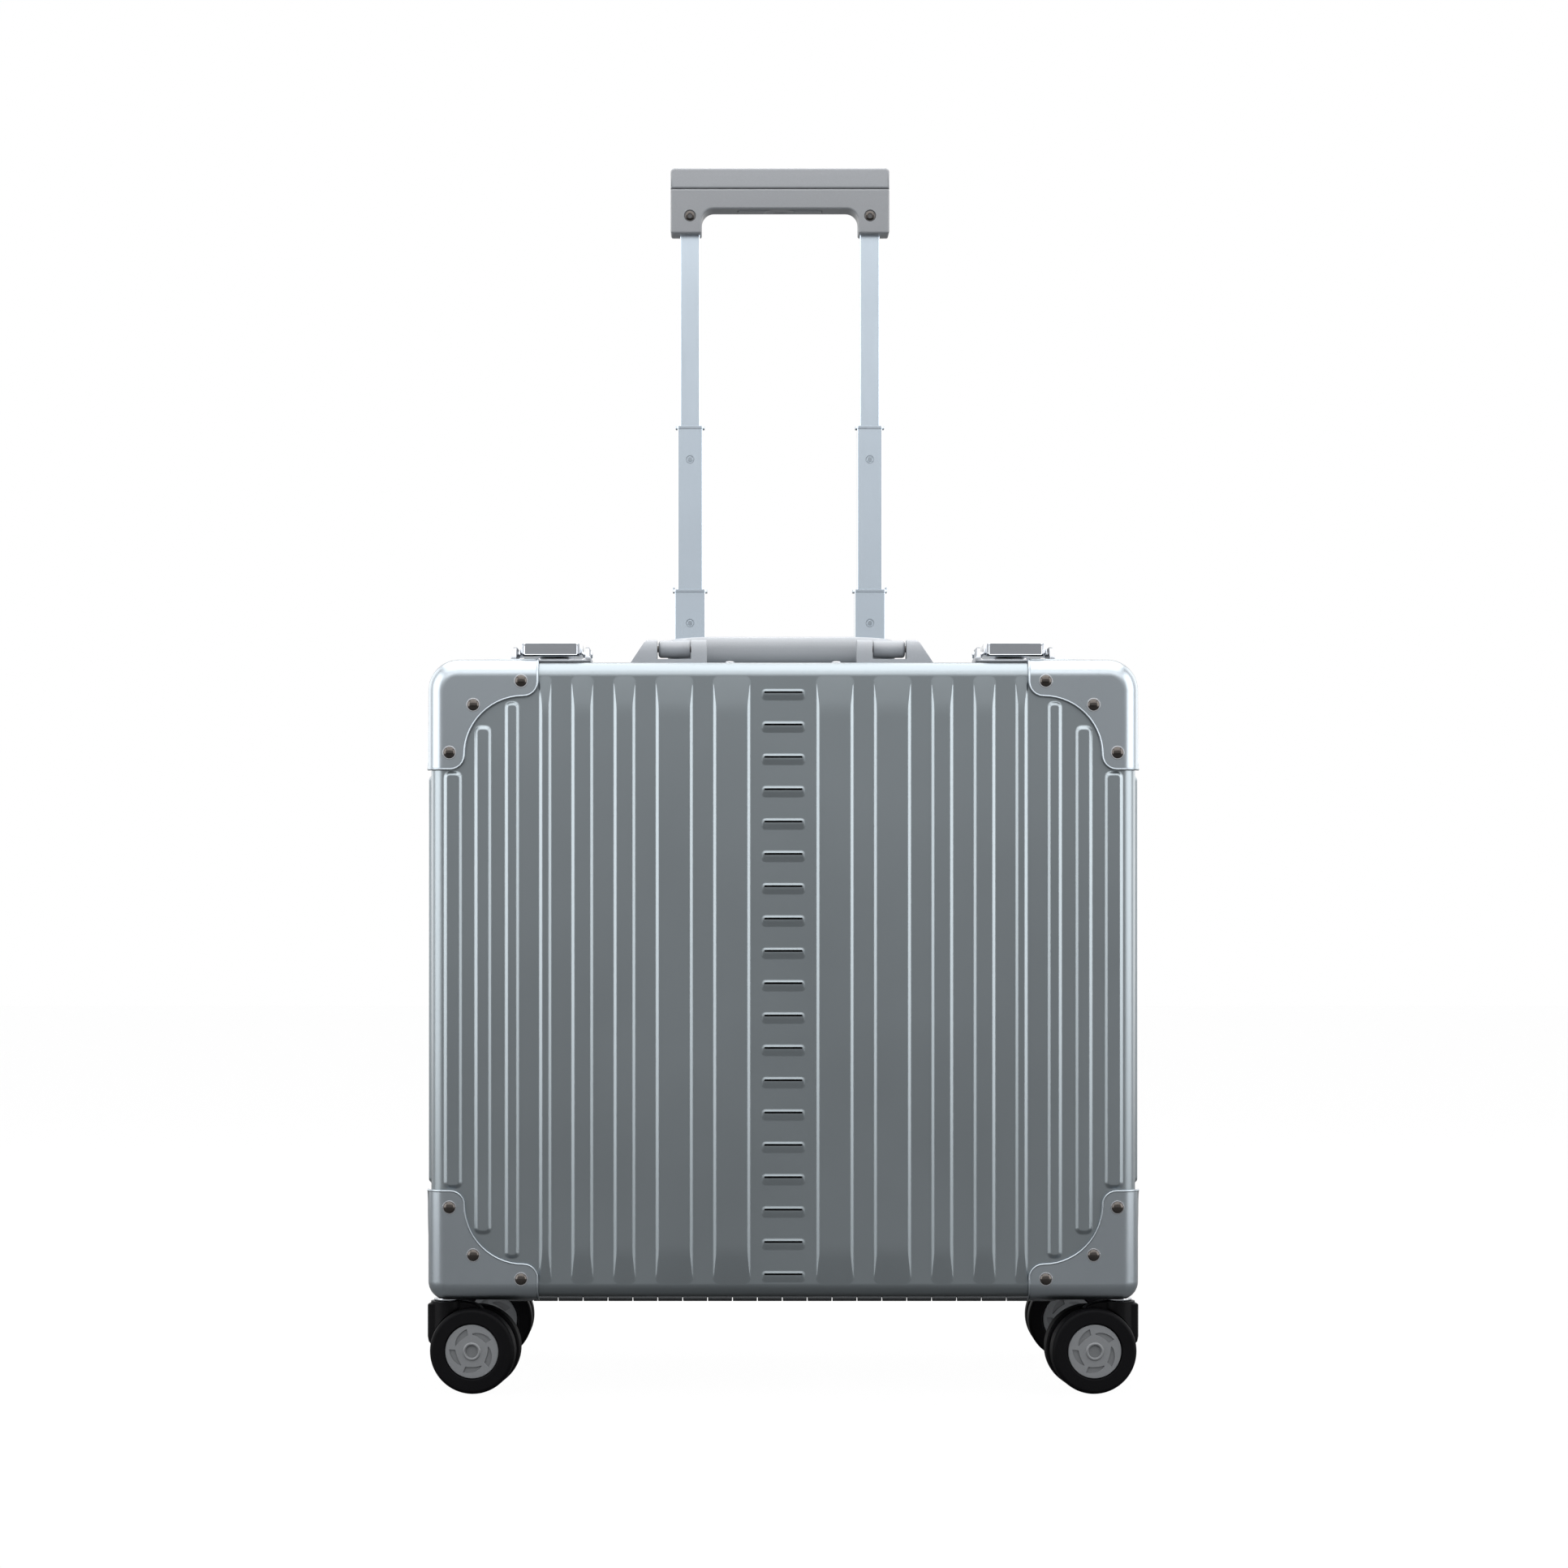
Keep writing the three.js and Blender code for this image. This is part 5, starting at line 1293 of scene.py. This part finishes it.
LATCH_HALF = 24.4
LATCH_PLATE = 1.5
CHEEK = {"width": 3.4, "height": 9.3}
LEVER = {"half": 19.2, "rise": 3.5, "height": 10.4, "face_half": 16.2, "border": 1.7}
LEVER_PIVOT = {"inset": 5, "rise": 6, "radius": 1.9}
CLAW = {"half": 9, "back": 6, "rise": 8.6, "eye": 2.9, "pin": 1.4}
KEEPER_RIVETS = (-7.5, 7.5)
KEEPER_PROFILE = (  # back from its front edge, above its seat
    (0, 0),
    (6.5, 0),
    (6.5, 1.2),
    (3.0, 1.2),
    (2.7, 1.6),
    (2.6, 2.7),
    (2.3, 3.05),
    (1.8, 3.2),
    (1.2, 3.15),
    (0.8, 2.9),
)


def latch_base(front, back, seat):
    """Plate and two cheeks with rounded noses, and the ends of the lever's pivot."""
    half, inner = LATCH_HALF, LATCH_HALF - CHEEK["width"]
    plate, top = seat + LATCH_PLATE, seat + CHEEK["height"]
    right = [(half, seat), (half, plate + 0.8), (half - 0.8, plate + 2.4), (half - 1.1, top)]
    right += [(inner, top), (inner, plate)]
    left = [(-x, z) for x, z in reversed(right)]
    side = [
        (front, seat),
        (back, seat),
        (back, top - 2.4),
        (back - 0.5, top - 1),
        (back - 2.2, top),
        (front + 6.5, top),
        (front + 3, top - 1.4),
        (front + 1, plate + 2.8),
        (front, plate + 0.8),
    ]
    base = profile_bar("base", right + left, 1, front - 1, back + 1)
    cut(base, profile_bar("side", side, 0, -half - 5, half + 5), operation="INTERSECT")
    pieces = [paint(soften(base, 0.4, 2, 28), "satin_fitting")]
    pivot = (back - LEVER_PIVOT["inset"], seat + LEVER_PIVOT["rise"])
    for hand in SIDES.values():
        head = rod("pivot_head", (hand * (half - 2), *pivot), (hand * (half - 0.3), *pivot), 2.2, 28)
        with editing(head):
            inset(facing(hand, 0, 0), (0.35, 0.25), (0.5, 0.1), (0.3, -0.25))
        pieces.append(paint(head, "chrome"))
    return join(pieces, "latch_base")


def latch_lever(front, back, seat):
    """The lever: polished border round a brushed finger face, and a slot for the claw."""
    low, high = seat + LEVER["rise"], seat + LEVER["rise"] + LEVER["height"]
    pivot = (back - LEVER_PIVOT["inset"], seat + LEVER_PIVOT["rise"])
    finger, tail, half = front - 1, pivot[0] + 3, LEVER["half"]

    def is_side(edge):
        """Test for the edges that run from front to back."""
        return abs(edge.verts[0].co.y - edge.verts[1].co.y) > MM and abs(abs(middle(edge).x) - half) < 0.01

    lever = box("lever", (-half, finger + 2.6, low), (half, tail, high))
    with editing(lever):
        bpy.ops.mesh.select_all(action="SELECT")
        spot = Vector((0, pivot[0] - 2, 0)) * MM
        bpy.ops.mesh.bisect(plane_co=spot, plane_no=(0, 1, 0))
        select("verts", lambda v: middle(v).y > pivot[0] - 3, lambda v: middle(v).z > high - 1)
        bpy.ops.transform.translate(value=(0, 0, -1 * MM))
        select("verts", lambda v: middle(v).y > tail - 1, lambda v: middle(v).z > high - 2)
        bpy.ops.transform.translate(value=(0, 0, -3.5 * MM))
        bevel(3.4, 6, is_side, lambda e: middle(e).z > high - 5)
        bevel(2.2, 4, is_side, at(2, low))
        border = LEVER["border"]
        inset(facing(0, -1, 0), (0.25, 0.12), (border - 0.5, 2.0), (0.25, 0.48))
        middle_z = (low + high) / 2
        share = LEVER["face_half"] / (half - border)
        bpy.ops.transform.resize(value=(share, 1, 1), center_override=(0, 0, middle_z * MM))
        bpy.ops.transform.translate(value=(0, 0, -0.9 * MM))
        inset(None, (0.3, -0.2))
    slot_front = pivot[0] - CLAW["back"] - CLAW["eye"] - 1
    slot_half = CLAW["half"] + 0.3
    cut(lever, box("slot", (-slot_half, slot_front, seat), (slot_half, back + 1, high + 1)))
    soften(lever, 0.25, 2, 40)
    recess = finger + 0.6
    paint(lever, "polished_edge")
    paint(lever, "brushed_face", lambda p: p.normal.y < -0.99 and p.center.y / MM < recess)
    stubs = []
    for hand in SIDES.values():
        start, end = (hand * (slot_half + 2), *pivot), (hand * (LATCH_HALF - 2.1), *pivot)
        stubs.append(paint(rod("stub", start, end, LEVER_PIVOT["radius"], 28), "chrome"))
    return join([lever, *stubs], "latch_lever")


def latch_claw(back, seat):
    """The draw claw: an eye on its pin, a strap, and a tip bent down above the keeper."""
    y, z, eye = back - LEVER_PIVOT["inset"] - CLAW["back"], seat + CLAW["rise"], CLAW["eye"]
    tip, strap = back + 18.5, seat + 4.3
    side = [
        (y, z - eye),
        (y + 3, z - eye),
        (back + 4, strap),
        (tip - 2.4, strap),
        (tip - 2, strap - 0.8),
        (tip, strap - 0.8),
        (tip, strap + 1.7),
        (tip - 0.3, strap + 2.1),
        (tip - 1, strap + 2.3),
        (back + 4, strap + 2.3),
        (y + 3, z + eye - 0.4),
        (y, z + eye),
    ]
    half, pin = CLAW["half"], CLAW["half"] + 3.3
    pieces = [
        soften(profile_bar("strap", side, 0, -half, half), 0.35, 2, 40),
        soften(rod("eye", (-half, y, z), (half, y, z), eye, 36), 0.3, 2, 60),
        rod("pin", (-pin, y, z), (pin, y, z), CLAW["pin"], 24),
    ]
    return join([paint(piece, "chrome") for piece in pieces], "latch_claw")


def latch_keeper(seat):
    """The rolled hook that the claw draws against, riveted to the rear frame."""
    low, high = span("latch_keeper_right")
    half = (high.x - low.x) / 2
    side = [(low.y + back, seat + rise) for back, rise in KEEPER_PROFILE]
    keeper = paint(soften(profile_bar("keeper", side, 0, -half, half), 0.2, 2, 40), "satin_fitting")
    spots = [place(x, low.y + 4.7, seat + 1.2) for x in KEEPER_RIVETS]
    return join([keeper, *spread(rivet(1.3, 0.6, 0.3), *spots)], "latch_keeper")


class TROLLEYCASE_OT_latches(bpy.types.Operator):
    """Forms the two draw latches: base, lever, claw and keeper."""

    bl_idname = "trolley_case.latches"
    bl_label = "Draw Latches"

    def execute(self, context):
        low, high = span("latch_base_right")
        front, back, seat = low.y, high.y, low.z
        made = {
            "base": latch_base(front, back, seat),
            "lever": latch_lever(front, back, seat),
            "claw": latch_claw(back, seat),
            "keeper": latch_keeper(seat),
        }
        for side_name in SIDES:
            x = centre(f"latch_base_{side_name}").x
            for kind, piece in made.items():
                node = f"latch_{kind}_{side_name}"
                stand_in(copy_of(piece, f"stamped_{node}", place(x)), node, angle=30)
        discard(*made.values())
        return {"FINISHED"}


# ---- casters, drawn about their swivel axis with the wheels trailing towards +X ------------------

CASTER_TRAIL = 18
CASTER_TOE = 5
AXLE_HALF = 15.5
WHEEL_RADIUS = 26
WHEEL_WIDTH = 12.4
WHEEL_OUT = 11.8
LIP_RADIUS = 17.6
HUB_RADIUS = 16.4
# radius of the recessed middle disc that is painted darker as shade
HUB_RECESS = 3.9
HUB_BACK, HUB_FACE = -3.5, -5.5
FORK_TOP = 55.2
FORK_WEB = 4.7
FORK_RADIUS = 9.7
FORK_BORE = {"radius": 4.5, "depth": 10}
FORK_OUTLINE = (
    (-11, 52.7),
    (-8.5, 55.2),
    (11.7, 55.2),
    (16.4, 54.4),
    (20.7, 52.2),
    (24.4, 48.6),
    (27.0, 43.6),
    (28, 38),
    (26, 24),
    (18, 18),
    (9, 20),
    (-8, 27),
    (-11, 31),
)
BLADE = (  # degrees, and radii of the recess's inner and outer edge
    (88, 10.3, 10.8),
    (78, 9.9, 11.6),
    (66, 9.6, 12.3),
    (54, 9.5, 12.9),
    (42, 9.7, 13.5),
    (31, 10.1, 13.9),
)


PIVOT = {"low": 55.5, "high": 56.9, "washer": 7.7, "stud": 4, "end": 45.5}
NOSE = ((-10.9, -6.2), (-10, -7.3), (-5, -7.3), (-5, 7.3), (-10, 7.3), (-10.9, 6.2))
NOSE_LOW, NOSE_TOP = 30.5, FORK_TOP - 1.2


def caster_pivot():
    """Bright swivel washer under the case, and its stud."""
    low, high = PIVOT["low"], PIVOT["high"]
    boss = rod("boss", (0, 0, low), (0, 0, high), PIVOT["washer"], 48)
    with editing(boss):
        bevel(0.5, 3, at(2, low))
        bevel(0.25, 2, at(2, high))
    stud = soften(rod("stud", (0, 0, PIVOT["end"]), (0, 0, low + 0.5), PIVOT["stud"], 32), 0.4)
    return join([paint(boss, "chrome"), paint(stud, "chrome")], "caster_pivot")


def caster_fork():
    """Swivel barrel with its nose block, the web between the wheels and the axle."""
    web = profile_bar("web", FORK_OUTLINE, 1, -FORK_WEB, FORK_WEB)
    soften(web, 1.0, 3, 30)
    barrel = rod("fork_barrel", (0, 0, 32), (0, 0, FORK_TOP), FORK_RADIUS, 48)
    block = profile_bar("nose", NOSE, 2, NOSE_LOW, NOSE_TOP)
    with editing(block):
        bevel(3.2, 1, at(0, NOSE[0][0]), at(2, NOSE_LOW))
        bevel(1.0, 2, at(2, NOSE_TOP))
    axle = (CASTER_TRAIL, WHEEL_RADIUS)
    pieces = []
    for form in (barrel, block):
        arches = []
        for hand in (-1, 1):
            start, end = (axle[0], hand * FORK_WEB, axle[1]), (axle[0], hand * 14, axle[1])
            arches.append(rod("arch", start, end, WHEEL_RADIUS + 0.8, 72))
        pieces.append(soften(cut(form, *arches), 0.6, 2, 40))
    for bored in (pieces[0], web):
        bottom = (0, 0, FORK_TOP - FORK_BORE["depth"])
        cut(bored, rod("bore", bottom, (0, 0, FORK_TOP + 1), FORK_BORE["radius"], 32))
    pin = rod("axle", (axle[0], -AXLE_HALF, axle[1]), (axle[0], AXLE_HALF, axle[1]), 2.5, 28)
    pieces = [paint(piece, "caster_moulding") for piece in [web, *pieces]]
    return join([*pieces, paint(pin, "chrome")], "caster_fork")


def wheel_cap():
    """Painted cap with a raised ring round its middle and five swirling recesses; the middle disc and the
    recesses are painted darker as painted shade.
    """
    cap = rod("cap", (0, HUB_BACK, 0), (0, HUB_FACE, 0), HUB_RADIUS, 80)
    with editing(cap):
        bevel(0.5, 3, at(1, HUB_FACE))
        ring = (10.3, 0), (0.35, 0.5), (0.35, 0.25), (0.5, 0), (0.3, -0.2), (0.3, -0.9), (0.3, -0.1)
        inset(facing(0, -1, 0), *ring)
    # painted shade: the recessed middle disc takes the darker copy of the hub paint
    paint(paint(cap, "hub_paint"), "hub_recess", lambda p: p.center.xz.length < HUB_RECESS * MM)
    blades = []
    for i in range(5):
        turn = math.radians(72 * i)
        inner = [(r, math.radians(a) + turn) for a, r, _ in BLADE]
        outer = [(r, math.radians(a) + turn) for a, _, r in reversed(BLADE)]
        outline = [(r * math.cos(a), r * math.sin(a)) for r, a in inner + outer]
        # painted shade: the faces these cutters leave take the darker copy of the hub paint
        blades.append(second_slot(profile_bar("blade", outline, 1, -4.9, -7)))
    return soften(cut(cap, *blades), 0.15, 2, 50)


def caster_wheel():
    """A tyre with a lipped sidewall and its cap, about the origin, cap towards -Y."""
    outer, inner = -WHEEL_WIDTH / 2, WHEEL_WIDTH / 2
    shoulder = sizes("tyre_shoulder")
    tyre = rod("tyre", (0, outer, 0), (0, inner, 0), WHEEL_RADIUS, 80)
    with editing(tyre):
        bevel(shoulder, 5, at(1, outer))
        bevel(1.2, 3, at(1, inner))
        flat = WHEEL_RADIUS - shoulder - LIP_RADIUS
        inset(facing(0, -1, 0), (flat, 0), (0.3, 0.0), (0.25, -0.15), (0.3, -1.6))
        inset(facing(0, 1, 0), (2.2, 0), (0.6, -1.2), (7, 0), (0.6, -1.5), (4, 0), (0.5, 1.4))
    return join([paint(tyre, "tyre"), wheel_cap()], "caster_wheel")


class TROLLEYCASE_OT_casters(bpy.types.Operator):
    """Moulds the four twin-wheel casters: swivel, fork and eight wheels."""

    bl_idname = "trolley_case.casters"
    bl_label = "Casters"

    def execute(self, context):
        pivot, fork, wheel = caster_pivot(), caster_fork(), caster_wheel()
        for row_name, row in ROWS.items():
            for side_name, side in SIDES.items():
                label = f"{row_name}_{side_name}"
                toe = CASTER_TOE if row < 0 else 0
                heading = math.radians(-toe if side < 0 else 180 + toe)
                axis = centre(f"caster_pivot_{label}")
                stand = place(axis.x, axis.y) @ Matrix.Rotation(heading, 4, "Z")
                stand_in(copy_of(pivot, f"turned_caster_pivot_{label}", stand), f"caster_pivot_{label}")
                stand_in(copy_of(fork, f"moulded_caster_fork_{label}", stand), f"caster_fork_{label}")
                for end, hand in (("a", -1), ("b", 1)):
                    spin = Matrix.Rotation(0 if hand < 0 else math.pi, 4, "Z")
                    spot = stand @ place(CASTER_TRAIL, hand * WHEEL_OUT, WHEEL_RADIUS) @ spin
                    node = f"wheel_{label}_{end}"
                    stand_in(copy_of(wheel, f"moulded_{node}", spot), node)
        discard(pivot, fork, wheel)
        return {"FINISHED"}


# ---- stage ---------------------------------------------------------------------------------------

CAMERA = {"location": (-0.028, -2.541, 0.317), "lens": 91.85, "shift_x": 0.0298, "shift_y": 0.057}
LAMPS = {  # place, aim, width, height and radiance, in metres
    "left_front_softbox": ((-1.45, -0.85, 0.8), (0, -0.85, 0.65), 1.6, 1.5, 3.7),
    "left_rear_softbox": ((-1.45, 1.2, 0.9), (0, 1.2, 0.7), 1.7, 1.7, 2.1),
    "right_front_softbox": ((1.45, -0.85, 0.8), (0, -0.85, 0.65), 1.6, 1.5, 3.7),
    "right_rear_softbox": ((1.45, 1.2, 0.9), (0, 1.2, 0.7), 1.7, 1.7, 2.1),
    "overhead_softbox": ((0, 0.1, 1.9), (0, 0.1, 0.3), 2.6, 3.2, 3.6),
    "front_softbox": ((0, -2.2, 1.75), (0, -0.1, 0.42), 3.0, 0.9, 2.7),
}
SURROUND_FILL = 0.3
FLOOR_SIZE = 14
FLOOR_COLOUR = (0.13, 0.13, 0.13, 1)
FLOOR_GLOW = 0.75
FLOOR_CLEARNESS = 0.93


def light_softboxes():
    for name, (spot, aim, width, height, radiance) in LAMPS.items():
        turn = (Vector(spot) - Vector(aim)).to_track_quat("Z", "Y").to_euler()
        bpy.ops.object.light_add(type="AREA", location=spot, rotation=turn)
        lamp = bpy.context.object
        lamp.name = name
        lamp.data.shape = "RECTANGLE"
        lamp.data.size = width
        lamp.data.size_y = height
        lamp.data.energy = radiance * math.pi * width * height


def white_surround():
    """A world that looks white and lights softly."""
    world = bpy.data.worlds.new("white_surround")
    world.use_nodes = True
    surround = Tree(world.node_tree)
    background = world.node_tree.nodes["Background"]
    background.inputs["Color"].default_value = (1, 1, 1, 1)
    strength = SURROUND_FILL + surround.seen() * (1 - SURROUND_FILL)
    surround.feed(background.inputs["Strength"], strength)
    return world


def pale_floor():
    """A floor that takes shadows and hides nothing below it, nor anything seen from below."""
    bpy.ops.mesh.primitive_plane_add(size=FLOOR_SIZE, location=(0, 0, 0))
    floor = bpy.context.object
    floor.name = "floor"
    finish = Finish("pale_floor")
    glow = finish.ray("Camera") * FLOOR_GLOW
    finish.surface(Base_Color=FLOOR_COLOUR, Roughness=0.9, Emission_Color=glow, Emission_Strength=1)
    clear = finish.node("ShaderNodeBsdfTransparent", {}, {"Color": (1, 1, 1, 1)})
    surface = Value(finish, finish.shader.outputs["BSDF"])
    below = finish.node("ShaderNodeNewGeometry", output="Backfacing")
    see_through = (finish.ray("Camera") * FLOOR_CLEARNESS).larger(finish.ray("Shadow").larger(below))
    blend = finish.node("ShaderNodeMixShader", {}, {0: see_through, 1: surface, 2: clear})
    finish.feed(finish.nodes.nodes["Material Output"].inputs["Surface"], blend)
    floor.data.materials.append(finish.material)
    return floor


class TROLLEYCASE_OT_stage(bpy.types.Operator):
    """Sets up the camera, the pale floor, the white surround and the softboxes."""

    bl_idname = "trolley_case.stage"
    bl_label = "Stage"

    def execute(self, context):
        scene = context.scene
        scene.view_settings.view_transform = "Standard"
        deselect()
        bpy.ops.object.camera_add(location=CAMERA["location"], rotation=(math.pi / 2, 0, 0))
        scene.camera = bpy.context.object
        for key in ("lens", "shift_x", "shift_y"):
            setattr(scene.camera.data, key, CAMERA[key])
        light_softboxes()
        scene.world = white_surround()
        deselect()
        pale_floor()
        return {"FINISHED"}


# ---- panel and running ---------------------------------------------------------------------------


class TROLLEYCASE_PT_panel(bpy.types.Panel):
    """Lists the parts of the trolley case."""

    bl_idname = "TROLLEYCASE_PT_panel"
    bl_label = "Aluminium Trolley Case"
    bl_space_type = "VIEW_3D"
    bl_region_type = "UI"
    bl_category = "Trolley Case"

    def draw(self, context):
        layout = self.layout
        for group in ("trolley_case_sizes", "trolley_case_colours"):
            box_layout = layout.box()
            settings = getattr(context.scene, group)
            for key in settings.__annotations__:
                box_layout.prop(settings, key)
        for operator in OPERATORS:
            layout.operator(operator.bl_idname)


OPERATORS = (
    TROLLEYCASE_OT_stage,
    TROLLEYCASE_OT_shells,
    TROLLEYCASE_OT_guards,
    TROLLEYCASE_OT_frames,
    TROLLEYCASE_OT_hinge,
    TROLLEYCASE_OT_linings,
    TROLLEYCASE_OT_trolley,
    TROLLEYCASE_OT_grip,
    TROLLEYCASE_OT_carry_handle,
    TROLLEYCASE_OT_latches,
    TROLLEYCASE_OT_casters,
)
CLASSES = (TrolleyCaseSizes, TrolleyCaseColours, *OPERATORS, TROLLEYCASE_PT_panel)


def register():
    for each in CLASSES:
        bpy.utils.register_class(each)
    bpy.types.Scene.trolley_case_sizes = bpy.props.PointerProperty(type=TrolleyCaseSizes)
    bpy.types.Scene.trolley_case_colours = bpy.props.PointerProperty(type=TrolleyCaseColours)


def unregister():
    del bpy.types.Scene.trolley_case_colours
    del bpy.types.Scene.trolley_case_sizes
    for each in reversed(CLASSES):
        bpy.utils.unregister_class(each)


def main():
    register()
    for operator in OPERATORS:
        group, name = operator.bl_idname.split(".")
        getattr(getattr(bpy.ops, group), name)()


if __name__ == "__main__":
    main()
